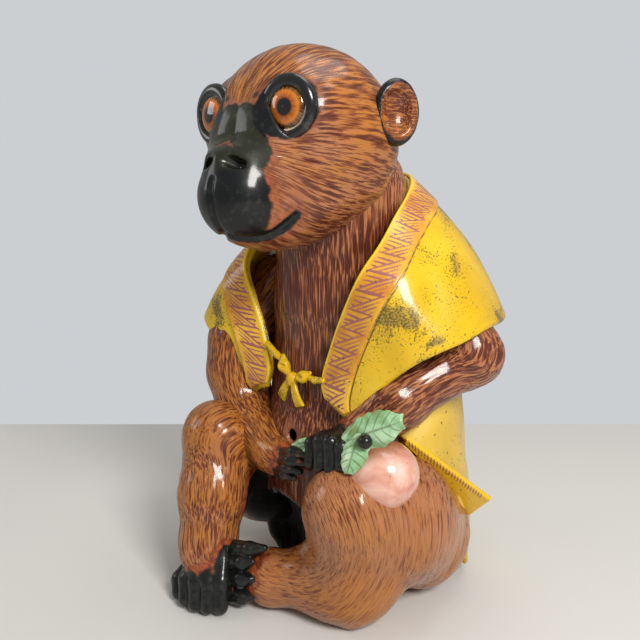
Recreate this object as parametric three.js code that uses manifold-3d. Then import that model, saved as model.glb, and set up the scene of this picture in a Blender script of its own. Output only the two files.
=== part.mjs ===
// Seated monkey: a hollow ceramic figure in a short yellow cape and robe, holding a peach sprig.
// Millimetres, +Z up. The figure faces -Y, so +X is its own left hand side.
// The body is built from rounded volumes. Every volume is a function of "grow", the amount by which
// it swells: a piece is cut by its neighbour grown by GAP, so that the two touch without overlapping.
import * as THREE from 'three';
import { mergeVertices } from 'three/addons/utils/BufferGeometryUtils.js';
import Module from 'manifold-3d';

const GAP = 0.3;              // clearance left between pieces that meet
const WALL = 8;               // thickness of the ceramic wall
const CLOTH = 4.2;            // thickness of the modelled cape and robe
const CAPE_FULLNESS = 0.07;   // how far the cape bows out between neck and hem, as a part of that distance
const BAND_WIDTH = 19;        // patterned collar band, across
const BAND_THICK = 1.4;
const TRUNK_BACK = 11;        // the trunk's axis lies this far behind the origin
const TRUNK_DEPTH = 0.95;     // the trunk is this much flatter front to back
const HEAD_TURN = 6;          // degrees that the head looks round towards its own left
const EYE = { x: 26, y: -81.5, z: 285.8, turn: 9, glass: 10.2, dome: 5.2, rim: 14.2 };

const wasm = await Module();
wasm.setup();

// ---------- solids from three.js geometry ----------

function solid(geometry) {
  const bare = geometry.clone();
  bare.deleteAttribute('normal');
  bare.deleteAttribute('uv');
  const merged = mergeVertices(bare, 1e-4);
  const points = Float32Array.from(merged.attributes.position.array);
  const corners = [];
  const index = merged.index.array;
  for (let i = 0; i < index.length; i += 3) {
    const [a, b, c] = [index[i], index[i + 1], index[i + 2]];
    if (a !== b && b !== c && c !== a) corners.push(a, b, c);
  }
  const mesh = { numProp: 3, vertProperties: points, triVerts: Uint32Array.from(corners) };
  return new wasm.Manifold(new wasm.Mesh(mesh));
}

const join = (...parts) => wasm.Manifold.union(parts.flat());

// What is left of a body once the tools are taken away, without any crumbs under 20 cubic millimetres.
function cut(body, ...tools) {
  const left = body.subtract(join(...tools)).decompose();
  return join(left.filter((piece) => piece.volume() > 20));
}

function turned(degreesX = 0, degreesY = 0, degreesZ = 0) {
  const [x, y, z] = [degreesX, degreesY, degreesZ].map(THREE.MathUtils.degToRad);
  return new THREE.Quaternion().setFromEuler(new THREE.Euler(x, y, z));
}

function placed(geometry, centre, turn = new THREE.Quaternion(), scale = [1, 1, 1]) {
  const size = new THREE.Vector3(...scale);
  return geometry.applyMatrix4(new THREE.Matrix4().compose(new THREE.Vector3(...centre), turn, size));
}

// Facets round a volume: few on a finger, more on the head.
const facets = (radius) => (radius < 8 ? 8 : radius < 28 ? 12 : 18);

// An ellipsoid with the given half sizes, swollen by grow.
function ball(centre, radii, grow = 0, turn) {
  const half = (Array.isArray(radii) ? radii : [radii, radii, radii]).map((r) => r + grow);
  const round = facets(Math.max(...half));
  const sphere = new THREE.SphereGeometry(1, round, round / 2 + 1);
  return solid(placed(sphere, centre, turn, half));
}

// Two spheres and the cone that just touches both, turned as one profile.
function taper(from, to, startRadius, endRadius) {
  const [a, b] = [new THREE.Vector3(...from), new THREE.Vector3(...to)];
  const length = a.distanceTo(b);
  const lean = Math.asin((startRadius - endRadius) / length);
  const steps = 3;
  const profile = [new THREE.Vector2(0, -startRadius)];
  for (let i = 1; i <= steps; i++) {
    const angle = -Math.PI / 2 + (Math.PI / 2 + lean) * i / steps;
    profile.push(new THREE.Vector2(startRadius * Math.cos(angle), startRadius * Math.sin(angle)));
  }
  for (let i = 0; i < steps; i++) {
    const angle = lean + (Math.PI / 2 - lean) * i / steps;
    profile.push(new THREE.Vector2(endRadius * Math.cos(angle), length + endRadius * Math.sin(angle)));
  }
  profile.push(new THREE.Vector2(0, length + endRadius));
  const along = new THREE.Quaternion().setFromUnitVectors(
    new THREE.Vector3(0, 1, 0), b.clone().sub(a).normalize());
  return solid(placed(new THREE.LatheGeometry(profile, facets(startRadius)), from, along));
}

// A limb: tapers end to end. Each stop is [x, y, z, radius].
function limb(stops, grow = 0) {
  const pieces = [];
  for (let i = 1; i < stops.length; i++) {
    const [p, q] = [stops[i - 1], stops[i]];
    pieces.push(taper(p.slice(0, 3), q.slice(0, 3), p[3] + grow, q[3] + grow));
  }
  return join(pieces);
}

// A curved sheet of even thickness. surface(s, t) gives a point for s and t from 0 to 1; the sheet
// lies between the two lifts, measured along the surface's own normal.
function sheet(surface, lengthSteps, widthSteps, lowLift, highLift, edgeGrow = 0) {
  const slab = new THREE.BoxGeometry(1, 1, 1, lengthSteps, widthSteps, 1);
  const spots = slab.attributes.position;
  const nudge = 1e-3;
  for (let i = 0; i < spots.count; i++) {
    const s = 0.5 + spots.getX(i) * (1 + edgeGrow);
    const t = 0.5 + spots.getY(i) * (1 + edgeGrow);
    const here = surface(s, t);
    const alongS = surface(s + nudge, t).sub(surface(s - nudge, t));
    const alongT = surface(s, t + nudge).sub(surface(s, t - nudge));
    const normal = alongS.cross(alongT).normalize();
    here.addScaledVector(normal, spots.getZ(i) > 0 ? highLift : lowLift);
    spots.setXYZ(i, here.x, here.y, here.z);
  }
  return solid(slab);
}

// Straight on past the ends of a curve, so that a grown sheet can reach outside it.
function alongCurve(curve, s) {
  const inside = THREE.MathUtils.clamp(s, 0, 1);
  const slope = curve.getTangent(inside).multiplyScalar(curve.getLength());
  return curve.getPoint(inside).addScaledVector(slope, s - inside);
}

const curveThrough = (points) => new THREE.CatmullRomCurve3(points.map((p) => new THREE.Vector3(...p)));
const underGround = solid(placed(new THREE.BoxGeometry(400, 400, 60), [0, 0, -30]));

// ---------- the body's volumes ----------

const sides = { left: 1, right: -1 };       // sign of X

// The trunk's radius at each height, tucked in where it meets the ground; the neck is separate.
const trunkProfile = [
  [50, 0], [61, 16], [66.5, 40], [64, 70], [61, 97], [58, 126], [57, 150], [55, 176], [48, 198], [34, 212],
];

// A trunk given a bottom below the ground runs straight down to it, to cut right through the base.
function turnedTrunk(grow, bottom = 0) {
  const wall = trunkProfile.map(([radius, z]) => new THREE.Vector2(radius + grow, z));
  if (bottom < 0) wall.unshift(new THREE.Vector2(wall[0].x, bottom));
  wall.unshift(new THREE.Vector2(0, bottom));
  wall.push(new THREE.Vector2(0, trunkProfile.at(-1)[1] + Math.max(grow, 0)));
  const lathe = new THREE.LatheGeometry(wall, 28);
  return solid(placed(lathe, [0, TRUNK_BACK, 0], turned(90), [1, 1, TRUNK_DEPTH]));
}

const neckStops = [[0, -1, 196, 43], [0, -9, 243, 41]];
const trunk = (grow = 0, bottom = 0) => join(turnedTrunk(grow, bottom), limb(neckStops, grow));

// The head is modelled looking straight ahead, then turned about the upright line through this point.
const HEAD_AT = [0, -38.5, 272];
function facing(shape) {
  const [x, y] = HEAD_AT;
  return shape.translate([-x, -y, 0]).rotate([0, 0, HEAD_TURN]).translate([x, y, 0]);
}

const braincase = (grow = 0) => facing(join(
  ball(HEAD_AT, 53.5, grow),
  ball([0, -62, 243], [35, 31, 30], grow)));
// The braincase with its chin, muzzle, nose bridge and brows.
const skull = (grow = 0) => join(braincase(grow), facing(join(
  ball([0, -74, 227], 16, grow),
  ball([0, -87, 241.5], [21.5, 18, 21.5], grow),
  ball([0, -82, 266], [16, 14, 17], grow),
  ...Object.values(sides).map((x) => ball([x * 26, -66, 283], 18, grow)))));

const armStops = {
  left: [[56, 12, 184, 22], [80, 19, 154, 14.5], [57, -24, 130, 13.5], [44, -41, 112, 11.5]],
  right: [[-56, -4, 184, 22], [-66, -34, 150, 19], [-63, -39, 128, 18.5], [-52, -41, 104, 17],
    [-15, -51, 88, 14]],
};

const legStops = {
  left: [[46, 12, 36, 35], [50, -18, 58, 35], [50, -57, 76, 24], [41, -42, 24, 24], [3, -63, 17, 15.5]],
  right: [[-50, 8, 36, 34], [-53, -64, 93, 20.5], [-44, -76, 60, 20], [-37, -86, 32, 17], [-31, -90, 22, 16]],
};

// A row of fingers or toes laid side by side; each is a thin taper from its knuckle to its tip.
function digits(count, firstKnuckle, lastKnuckle, firstTip, lastTip, radius, grow) {
  const between = (a, b, k) => new THREE.Vector3(...a).lerp(new THREE.Vector3(...b), k).toArray();
  const row = [];
  for (let i = 0; i < count; i++) {
    const k = i / (count - 1);
    const [knuckle, tip] = [between(firstKnuckle, lastKnuckle, k), between(firstTip, lastTip, k)];
    row.push(taper(knuckle, tip, radius + grow, radius * 0.85 + grow));
  }
  return row;
}

const hands = {
  left: (grow = 0) => join(
    ball([41, -47, 105], [11, 9, 10], grow),
    digits(4, [24, -54, 105], [44, -55, 108], [23, -57, 97], [43, -58, 96], 3.6, grow),
    limb([[47, -46, 110, 5], [58, -51, 113, 4]], grow)),
  right: (grow = 0) => join(
    ball([-1, -56, 88], [13, 10, 11], grow),
    digits(4, [4, -59, 96], [4, -59, 83], [18, -62, 97], [20, -62, 85], 3.4, grow)),
};

const feet = {
  left: (grow = 0) => join(
    ball([-6, -68, 14], [17, 14, 16], grow),
    digits(4, [-14, -64, 27], [-12, -76, 5], [-24, -66, 25], [-20, -80, 4], 5, grow)),
  right: (grow = 0) => join(
    ball([-30, -94, 12], [19, 13, 14], grow),
    digits(5, [-46, -93, 18], [-15, -90, 17], [-47, -101, 4], [-12, -99, 4], 5.2, grow)),
};

const peachShape = (grow = 0) => ball([63, -41, 93.5], [21, 20.5, 19.5], grow);

// ---------- cape ----------

// Matching points on the neck edge and the hem, from the middle of the back round to the front corner.
const neckEdge = {
  left: [[0, 38, 258], [17, 34, 257], [30, 22, 252], [39, 6, 243], [46, -14, 231], [50, -31, 217],
    [47, -43, 202], [38, -45, 183], [28, -45, 160], [22, -46, 138], [26, -46, 126]],
};
neckEdge.right = neckEdge.left.map(([x, y, z]) => [-x, y, z]);
const hem = {
  left: [[0, 99.6, 171], [50, 85, 171], [82, 52, 171], [94.6, 8, 170.5], [92, -10, 165.5], [86, -22, 161],
    [76, -30, 154], [64, -35, 144], [53, -40, 132.5], [45, -43, 124], [38, -46, 120]],
  right: [[0, 99.6, 171], [-50, 85, 171], [-82, 52, 171], [-94.6, 8, 170.5], [-96, -15, 168], [-93, -36, 167],
    [-85, -50, 163], [-70, -54, 153], [-57, -51, 140], [-47, -48, 128], [-38, -46, 120]],
};
const roundTheFigure = (edge) => curveThrough([...edge.right.slice(1).reverse(), ...edge.left]);
const neckCurve = roundTheFigure(neckEdge);
const hemCurve = roundTheFigure(hem);

// s runs from the right front corner round the back to the left one, t from the neck to the hem.
function capeSurface(s, t) {
  const [top, bottom] = [alongCurve(neckCurve, s), alongCurve(hemCurve, s)];
  const outward = new THREE.Vector3(bottom.x, bottom.y - TRUNK_BACK, 0).setLength(0.8).setZ(0.6);
  const bulge = Math.sin(Math.PI * THREE.MathUtils.clamp(t, 0, 1));
  const fullness = CAPE_FULLNESS * top.distanceTo(bottom) * bulge;
  return top.lerp(bottom, t).addScaledVector(outward, fullness);
}
const cape = (grow = 0) => sheet(capeSurface, 36, 4, -CLOTH - grow, grow, grow / 60);

// The band follows the neck edge on top of the cape, at an even width.
function bandSurface(start, end) {
  return (s, t) => {
    const along = THREE.MathUtils.lerp(start, end, s);
    const reach = alongCurve(neckCurve, along).distanceTo(alongCurve(hemCurve, along));
    return capeSurface(along, t * Math.min(BAND_WIDTH / reach, 0.9));
  };
}
const band = (start, end) => sheet(bandSurface(start, end), 20, 2, GAP, GAP + BAND_THICK);

// ---------- robe ----------

const ROBE_TOP = 168;
const ROBE_HEM = 6;
const ROBE_FRONT = { top: 88, hem: 60 };     // degrees from the middle of the back to each front edge

// The robe hangs straight down from the widest part of the hips.
const hipsDown = [[66, 0], ...trunkProfile.slice(2)];
const robeFit = new THREE.SplineCurve(hipsDown.map(([radius, z]) => new THREE.Vector2(z, radius)));
function robeRadius(z) {
  let [low, high] = [0, 1];
  for (let i = 0; i < 24; i++) {
    const middle = (low + high) / 2;
    if (robeFit.getPoint(middle).x < z) low = middle; else high = middle;
  }
  return robeFit.getPoint(low).y + GAP + CLOTH;
}

function robeSurface(s, t) {
  const z = THREE.MathUtils.lerp(ROBE_TOP, ROBE_HEM, t);
  const reach = THREE.MathUtils.lerp(ROBE_FRONT.top, ROBE_FRONT.hem, t);
  const angle = THREE.MathUtils.degToRad((1 - 2 * s) * -reach);
  const radius = robeRadius(z);
  return new THREE.Vector3(radius * Math.sin(angle), TRUNK_BACK + TRUNK_DEPTH * radius * Math.cos(angle), z);
}
const robe = (grow = 0) => sheet(robeSurface, 22, 6, -grow, CLOTH + grow, grow / 80);

// The left front edge of the robe is turned out over the hip as a pointed flap.
const flapUpper = curveThrough([[61, -18, 109], [76, 10, 84], [85, 38, 61]]);
const flapLower = curveThrough([[58, -16, 104], [66, 10, 76], [68, 40, 44]]);
const flapSurface = (s, t) => alongCurve(flapUpper, s).lerp(alongCurve(flapLower, s), t);
const flap = () => sheet(flapSurface, 10, 3, -1.6, 1.6);

// ---------- leaves, bow and eyes ----------

// A leaf blade: its width follows a sine from stalk to tip and its edges droop.
function leaf(from, to, halfWidth, across, droop) {
  const [start, end, side] = [from, to, across].map((p) => new THREE.Vector3(...p));
  side.normalize();
  const bow = end.clone().sub(start).cross(side).normalize();
  const surface = (s, t) => {
    const offset = 2 * t - 1;
    const width = halfWidth * (0.25 + 0.75 * Math.sin(Math.PI * THREE.MathUtils.clamp(s, 0.05, 0.95)));
    return start.clone().lerp(end, s).addScaledVector(side, width * offset)
      .addScaledVector(bow, -droop * offset * offset);
  };
  return sheet(surface, 8, 4, -1.3, 1.3);
}

const ribbon = (from, to, width, thick) => {
  const [a, b] = [new THREE.Vector3(...from), new THREE.Vector3(...to)];
  const along = new THREE.Quaternion().setFromUnitVectors(
    new THREE.Vector3(1, 0, 0), b.clone().sub(a).normalize());
  const slab = new THREE.BoxGeometry(a.distanceTo(b), thick, width);
  return solid(placed(slab, a.lerp(b, 0.5).toArray(), along));
};

// Turned about the eye's own axis, which leans outwards. The profile runs [radius, height].
function eyePiece(side, profile) {
  const points = profile.map(([radius, height]) => new THREE.Vector2(radius, height));
  const lathe = new THREE.LatheGeometry(points, 20);
  const outward = turned(180, 0, 0).premultiply(turned(0, 0, sides[side] * EYE.turn));
  return facing(solid(placed(lathe, [sides[side] * EYE.x, EYE.y, EYE.z], outward)));
}

// The outline of a shallow dome cut from a ball.
function domeProfile(radius, height, steps = 7) {
  const ballRadius = (radius * radius + height * height) / (2 * height);
  const spread = Math.asin(radius / ballRadius);
  const points = [[0, 0]];
  for (let i = 0; i < steps; i++) {
    const angle = spread * (1 - i / steps);
    points.push([ballRadius * Math.sin(angle), ballRadius * Math.cos(angle) - ballRadius + height]);
  }
  return [...points, [0, height]];
}

const IRIS_THICK = 1.2;
const glass = domeProfile(EYE.glass, EYE.dome);
const irisRadius = EYE.glass - 0.5;
const iris = [[0, -GAP - IRIS_THICK], [irisRadius, -GAP - IRIS_THICK], [irisRadius, -GAP], [0, -GAP]];
const rimInner = EYE.glass + GAP;
const RIM_SEAT = -4;          // how deep the rim sits in its socket, along the eye's axis
const rim = [[rimInner, RIM_SEAT], [EYE.rim, RIM_SEAT], [EYE.rim, 0.5], [EYE.rim - 1.2, 2],
  [rimInner + 1, 2.4], [rimInner, 1.2], [rimInner, RIM_SEAT]];
const socket = [[0, RIM_SEAT - GAP], [EYE.rim + GAP, RIM_SEAT - GAP], [EYE.rim + GAP, 14], [0, 14]];

function ear(side) {
  const x = sides[side];
  const turn = turned(0, 0, -25 * x);
  const shell = ball([x * 55, -28, 286.5], [6, 13, 17.5], 0, turn);
  const bowl = ball([x * 58, -35, 286.5], [7, 9, 12.5], 0, turn);
  return cut(facing(cut(shell, bowl)), skull(GAP));
}

// ---------- the pieces ----------

const colours = {
  fur: { color: 0x6b2f18, roughness: 0.3, metalness: 0 },
  black: { color: 0x14130f, roughness: 0.2, metalness: 0 },
  cloth: { color: 0xe3c413, roughness: 0.4, metalness: 0 },
  band: { color: 0xd9a227, roughness: 0.4, metalness: 0 },
  leaf: { color: 0x7fae7c, roughness: 0.35, metalness: 0 },
  peach: { color: 0xd99a85, roughness: 0.25, metalness: 0 },
  amber: { color: 0xb5601a, roughness: 0.3, metalness: 0 },
  glass: { color: 0xf4f4f0, roughness: 0.05, metalness: 0 },
};

const figure = new THREE.Group();

function addPiece(name, shape, finish) {
  const { vertProperties, triVerts } = shape.getMesh();
  const geometry = new THREE.BufferGeometry();
  geometry.setAttribute('position', new THREE.BufferAttribute(Float32Array.from(vertProperties), 3));
  geometry.setIndex(new THREE.BufferAttribute(Uint32Array.from(triVerts), 1));
  geometry.computeVertexNormals();
  const mesh = new THREE.Mesh(geometry, new THREE.MeshStandardMaterial(colours[finish]));
  mesh.name = name;
  figure.add(mesh);
}

const capeGrown = cape(GAP);
const trunkGrown = trunk(GAP);
const skullGrown = skull(GAP);
const arms = Object.fromEntries(Object.keys(sides).map((side) => [side, limb(armStops[side])]));
const armsGrown = Object.keys(sides).map((side) => limb(armStops[side], GAP));
const handsGrown = Object.keys(sides).map((side) => hands[side](GAP));
const legsGrown = Object.keys(sides).map((side) => limb(legStops[side], GAP));

// Trunk and head share one hollow: it is open at the base and runs up through the neck. A dent under
// the lap keeps its own wall.
const bellyVent = limb([[0, -60, 102, 4], [0, -30, 102, 4]]);
const [lapAt, lapSize] = [[-10, -52, 22], [38, 34, 38]];
const underLap = ball(lapAt, lapSize);
const trunkHollow = cut(trunk(-WALL, -20), ball(lapAt, lapSize.map((half) => half + WALL)));
addPiece('torso_shell', cut(trunk(), trunkHollow, skullGrown, capeGrown, bellyVent, underLap), 'fur');

const neckBore = limb(neckStops, -WALL);
const nostrils = Object.values(sides).map((x) => facing(ball([x * 6, -97, 257], [3, 6, 2.4])));
const sockets = Object.keys(sides).map((side) => eyePiece(side, socket));
addPiece('head_shell', cut(skull(), braincase(-WALL), neckBore, sockets, nostrils), 'fur');

for (const side of Object.keys(sides)) {
  addPiece(`${side}_ear`, ear(side), 'fur');
  addPiece(`${side}_eye_glass`, eyePiece(side, glass), 'glass');
  addPiece(`${side}_eye_iris`, eyePiece(side, iris), 'amber');
  addPiece(`${side}_eye_rim`, eyePiece(side, rim), 'black');
}

for (const side of Object.keys(sides)) {
  addPiece(`${side}_arm`, cut(arms[side], trunkGrown, capeGrown), 'fur');
  addPiece(`${side}_leg`, cut(limb(legStops[side]), trunkGrown, armsGrown, handsGrown, underGround), 'fur');
}

addPiece('left_hand', cut(hands.left(), armsGrown, trunkGrown), 'black');
addPiece('right_hand', cut(hands.right(), armsGrown, trunkGrown, hands.left(GAP)), 'black');
addPiece('right_foot', cut(feet.right(), legsGrown, underGround), 'black');
addPiece('left_foot', cut(feet.left(), legsGrown, feet.right(GAP), underGround), 'black');

addPiece('peach', cut(peachShape(), legsGrown, armsGrown, handsGrown), 'peach');
const leafCutters = [peachShape(GAP), ...handsGrown, ...armsGrown, ...legsGrown, trunkGrown];
const blades = {
  upper_leaf: leaf([51, -57, 114], [79, -46, 126], 10, [-0.3, 0.1, 1], 3),
  lower_leaf: leaf([54, -57, 110], [47, -58, 92], 7, [1, 0.25, 0], 2),
  outer_leaf: leaf([48, -60, 112], [13, -60, 101], 5, [0.2, 0.1, 1], 2),
};
const takenByLeaves = [];
for (const [name, blade] of Object.entries(blades)) {
  const shape = cut(blade, leafCutters, takenByLeaves);
  addPiece(name, shape, 'leaf');
  takenByLeaves.push(blade);
}

addPiece('cape_shell', cape(), 'cloth');
const bands = { left: cut(band(0.51, 0.985), capeGrown), right: cut(band(0.015, 0.49), capeGrown) };
for (const side of Object.keys(sides)) addPiece(`${side}_collar_band`, bands[side], 'band');

// The tie runs from one cape edge to the other through a flat bow with a round knot.
const bow = {
  bow_knot: ball([0, -49, 137], [4.2, 3.2, 4]),
  left_bow_loop: ball([8.5, -48.5, 139.5], [5, 2.6, 3.6], 0, turned(0, -20, 0)),
  right_bow_loop: ball([-7, -48.5, 143], [5.4, 2.6, 3.6], 0, turned(0, 50, 0)),
  left_bow_tail: ribbon([2.5, -48, 133], [6, -48, 121], 6, 2.4),
  right_bow_tail: ribbon([-3, -48, 133.5], [-10, -48, 124], 6, 2.4),
  left_tie: ribbon([13, -47.8, 139], [23, -47.8, 139.5], 4, 2.4),
  right_tie: ribbon([-10, -47.8, 146], [-22, -47.8, 154], 4, 2.4),
};
const takenByBow = [trunkGrown, capeGrown, bands.left, bands.right];
for (const [name, shape] of Object.entries(bow)) {
  addPiece(name, cut(shape, takenByBow), 'cloth');
  takenByBow.push(shape);
}
addPiece('robe_skirt', cut(robe(), legsGrown, armsGrown, capeGrown), 'cloth');
addPiece('robe_flap', cut(flap(), legsGrown, armsGrown, robe(GAP)), 'cloth');

figure.updateMatrixWorld(true);
const extent = new THREE.Box3().setFromObject(figure);
const middle = extent.getCenter(new THREE.Vector3());
figure.position.set(-middle.x, -middle.y, -extent.min.z);

export default figure;
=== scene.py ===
import math
import bpy
import numpy as np
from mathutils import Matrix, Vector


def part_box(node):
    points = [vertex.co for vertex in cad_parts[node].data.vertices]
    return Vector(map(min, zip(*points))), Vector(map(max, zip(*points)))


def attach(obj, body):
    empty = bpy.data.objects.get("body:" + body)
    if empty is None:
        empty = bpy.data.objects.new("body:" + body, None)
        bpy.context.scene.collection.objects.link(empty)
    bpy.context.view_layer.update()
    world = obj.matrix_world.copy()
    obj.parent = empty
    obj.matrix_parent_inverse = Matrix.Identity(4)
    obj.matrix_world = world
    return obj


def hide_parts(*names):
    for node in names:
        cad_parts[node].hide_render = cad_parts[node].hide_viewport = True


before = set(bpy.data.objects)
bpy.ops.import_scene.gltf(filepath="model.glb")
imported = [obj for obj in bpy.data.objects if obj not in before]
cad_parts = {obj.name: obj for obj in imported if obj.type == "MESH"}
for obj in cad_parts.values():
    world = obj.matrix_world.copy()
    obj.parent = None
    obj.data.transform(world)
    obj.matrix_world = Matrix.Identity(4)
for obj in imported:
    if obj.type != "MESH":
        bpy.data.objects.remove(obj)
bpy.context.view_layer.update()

# ------------------------------------------------------------------------------------------------
# The trunk: slip-cast red clay, hollow from its open base up, with a vent hole in the belly.
# It was pressed in a two-part mould, and the fur was combed into the leather-hard clay with a tool.
# ------------------------------------------------------------------------------------------------

trunk_low, trunk_high = (np.array(corner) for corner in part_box("torso_shell"))
TRUNK_BACK = 11.0             # mm, the trunk's axis lies this far behind the figure's middle
TRUNK_DEPTH = 0.95            # flatter front to back than side to side
TRUNK_HEIGHTS = [0, 16, 40, 70, 97, 126, 150, 176, 198, 212, 222]
TRUNK_RADII = [50, 61, 66.5, 64, 61, 58, 57, 55, 48, 34, 10]
HALF_DEPTH = TRUNK_BACK + TRUNK_DEPTH * max(TRUNK_RADII)
MIDDLE = np.array([(trunk_low[0] + trunk_high[0]) / 2, trunk_high[1] - HALF_DEPTH / 1000, 0.0])


def ball(p, centre, radii):
    """Signed distance to an ellipsoid: its own scaled radius less one, over the slope of that radius."""
    q = p - np.asarray(centre, np.float32)
    radii = np.broadcast_to(np.asarray(radii, np.float32), 3)
    scaled = np.linalg.norm(q / radii, axis=1)
    steep = np.linalg.norm(q / radii ** 2, axis=1)
    return scaled * (scaled - 1) / np.maximum(steep, 1e-6)


def taper(p, start, end):
    """Signed distance to two balls and the cone that touches both; each end is x, y, z and a radius."""
    a, b = np.asarray(start[:3], np.float32), np.asarray(end[:3], np.float32)
    axis, narrowing = b - a, start[3] - end[3]
    length2 = axis @ axis
    cone2 = length2 - narrowing ** 2
    away = p - a
    y = away @ axis
    z = y - length2
    side = away * length2 - y[:, None] * axis
    x2 = np.einsum("ij,ij->i", side, side)
    y2, z2 = y * y * length2, z * z * length2
    k = np.sign(narrowing) * narrowing ** 2 * x2
    body = (np.sqrt(x2 * cone2 / length2) + y * narrowing) / length2 - start[3]
    far = np.sqrt(x2 + z2) / length2 - end[3]
    near = np.sqrt(x2 + y2) / length2 - start[3]
    return np.where(np.sign(z) * cone2 * z2 > k, far, np.where(np.sign(y) * cone2 * y2 < k, near, body))


def melt(a, b, blend):
    """The nearer of two distances, with the crease between them filled over a width of blend."""
    h = np.maximum(blend - np.abs(a - b), 0) / blend
    return np.minimum(a, b) - h * h * blend / 4


def carve(a, b, blend):
    """The clay a with the hollow b pressed into it, its lip rounded over a width of blend."""
    return -melt(-a, b, blend)


def limb(p, stops, blend=6.0):
    """Tapers end to end, melted together."""
    total = taper(p, stops[0], stops[1])
    for start, end in zip(stops[1:-1], stops[2:]):
        total = melt(total, taper(p, start, end), blend)
    return total


STROKE, SPACING = 12.0, 1.2   # mm, the length of a combed stroke and the room between two


def way_along(p, stops):
    """Where each point lies on a limb: how far along, and the two offsets across it.

    The frame is carried from segment to segment without twisting, and nearby segments are mixed by how
    close they are.  Both parts are divided by the length and spacing of the combed strokes."""
    stops = np.asarray(stops, float)
    axes = stops[1:, :3] - stops[:-1, :3]
    lengths = np.linalg.norm(axes, axis=1)
    axes = axes / lengths[:, None]
    side = np.cross(axes[0], [0.3, 0.5, 0.8])
    total, weights, run = np.zeros((len(p), 3)), np.zeros(len(p)), 0.0
    for start, axis, length in zip(stops[:-1], axes, lengths):
        side = side - axis * (side @ axis)
        side /= np.linalg.norm(side)
        third = np.cross(axis, side)
        away = p - start[:3]
        along = away @ axis
        inside = np.clip(along, 0, length)
        gap = np.linalg.norm(away - inside[:, None] * axis, axis=1)
        weight = np.exp(-gap / 3.0) + 1e-9
        here = np.stack([(run + along) / STROKE, away @ side / SPACING, away @ third / SPACING], 1)
        total += weight[:, None] * here
        weights += weight
        run += length
    return total / weights[:, None]


CHANCE = np.random.default_rng(11).random((24, 24, 24)).astype(np.float32)


def ripple(q):
    """Smooth random values from 0 to 1: a lattice of chance values, eased between its points."""
    cell = np.floor(q).astype(int)
    f = (q - cell).astype(np.float32)
    f = f * f * (3 - 2 * f)
    total = np.zeros(len(q), np.float32)
    for corner in np.ndindex(2, 2, 2):
        share = np.prod(np.where(corner, f, 1 - f), axis=1)
        i, j, k = ((cell + corner) % 24).T
        total += share * CHANCE[i, j, k]
    return total


def skin(clay, low, high, step):
    """Vertices and quads over the surface where clay(p) is zero.

    Space is cut into cubes.  A cube that the surface passes through gets one vertex, at the mean of the
    places where its edges cross, and each crossed edge gets one quad.  The vertices are then slid on to
    the surface along its slope."""
    low, high = np.array(low, float), np.array(high, float)
    count = np.ceil((high - low) / step).astype(int) + 1
    lines = [low[i] + step * np.arange(count[i]) for i in range(3)]
    grid = np.stack(np.meshgrid(*lines, indexing="ij"), -1).reshape(-1, 3).astype(np.float32)
    depth = np.concatenate([clay(part) for part in np.array_split(grid, 24)]).reshape(count)
    inside = depth < 0
    corners = np.array(list(np.ndindex(2, 2, 2)))
    last = count - 1
    filled = sum(inside[i:last[0] + i, j:last[1] + j, k:last[2] + k].astype(int) for i, j, k in corners)
    cut = (filled > 0) & (filled < 8)
    number = np.full(cut.shape, -1)
    number[cut] = np.arange(cut.sum())
    cell = np.argwhere(cut)
    total, hits = np.zeros((len(cell), 3)), np.zeros(len(cell))
    for a in corners:
        for b in corners:
            if (b - a).sum() == 1 and np.abs(b - a).sum() == 1:
                here, there = depth[tuple((cell + a).T)], depth[tuple((cell + b).T)]
                crossed = (here < 0) != (there < 0)
                part = np.where(crossed, here / np.where(crossed, here - there, 1), 0)
                total += crossed[:, None] * (a + part[:, None] * (b - a))
                hits += crossed
    points = low + step * (cell + total / hits[:, None])
    quads = []
    for axis in range(3):
        u, v = np.eye(3, dtype=int)[(axis + 1) % 3], np.eye(3, dtype=int)[(axis + 2) % 3]
        span = [slice(None)] * 3
        span[axis] = slice(0, last[axis])
        ahead = list(span)
        ahead[axis] = slice(1, None)
        edge = np.argwhere(inside[tuple(span)] != inside[tuple(ahead)])
        edge = edge[np.all((edge - u - v >= 0) & (edge < last), axis=1)]
        ring = np.stack([number[tuple(g.T)] for g in (edge, edge - u, edge - u - v, edge - v)], 1)
        flip = ~inside[tuple(edge.T)]
        ring[flip] = ring[flip][:, ::-1]
        quads.append(ring)
    for _ in range(3):
        lean = slope(clay, points)
        gap = clay(points.astype(np.float32)) / np.einsum("ij,ij->i", lean, lean)
        points = points - gap[:, None] * lean
    return points, np.concatenate(quads)


def slope(clay, p, reach=0.12):
    """The way the distance grows fastest, from differences across each axis."""
    steps = reach * np.eye(3)
    return np.stack([(clay((p + s).astype(np.float32)) - clay((p - s).astype(np.float32))) / (2 * reach)
                     for s in steps], 1)


def fired(name, points, faces, **marks):
    """Make a piece from points in millimetres; each mark becomes an attribute of its vertices.

    A mark given as one number is the same all over."""
    mesh = bpy.data.meshes.new(name)
    world = np.asarray(points) / 1000 + MIDDLE
    mesh.from_pydata(world.tolist(), [], faces if isinstance(faces, list) else faces.tolist())
    mesh.shade_smooth()
    for mark, values in marks.items():
        values = np.asarray(values, np.float32)
        if values.ndim == 0:
            values = np.full(len(world), values, np.float32)
        if values.ndim == 2:
            mesh.attributes.new(mark, "FLOAT_VECTOR", "POINT").data.foreach_set("vector", values.ravel())
        else:
            mesh.attributes.new(mark, "FLOAT", "POINT").data.foreach_set("value", values)
    piece = bpy.data.objects.new(name, mesh)
    bpy.context.collection.objects.link(piece)
    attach(piece, "root")
    return piece


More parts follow.
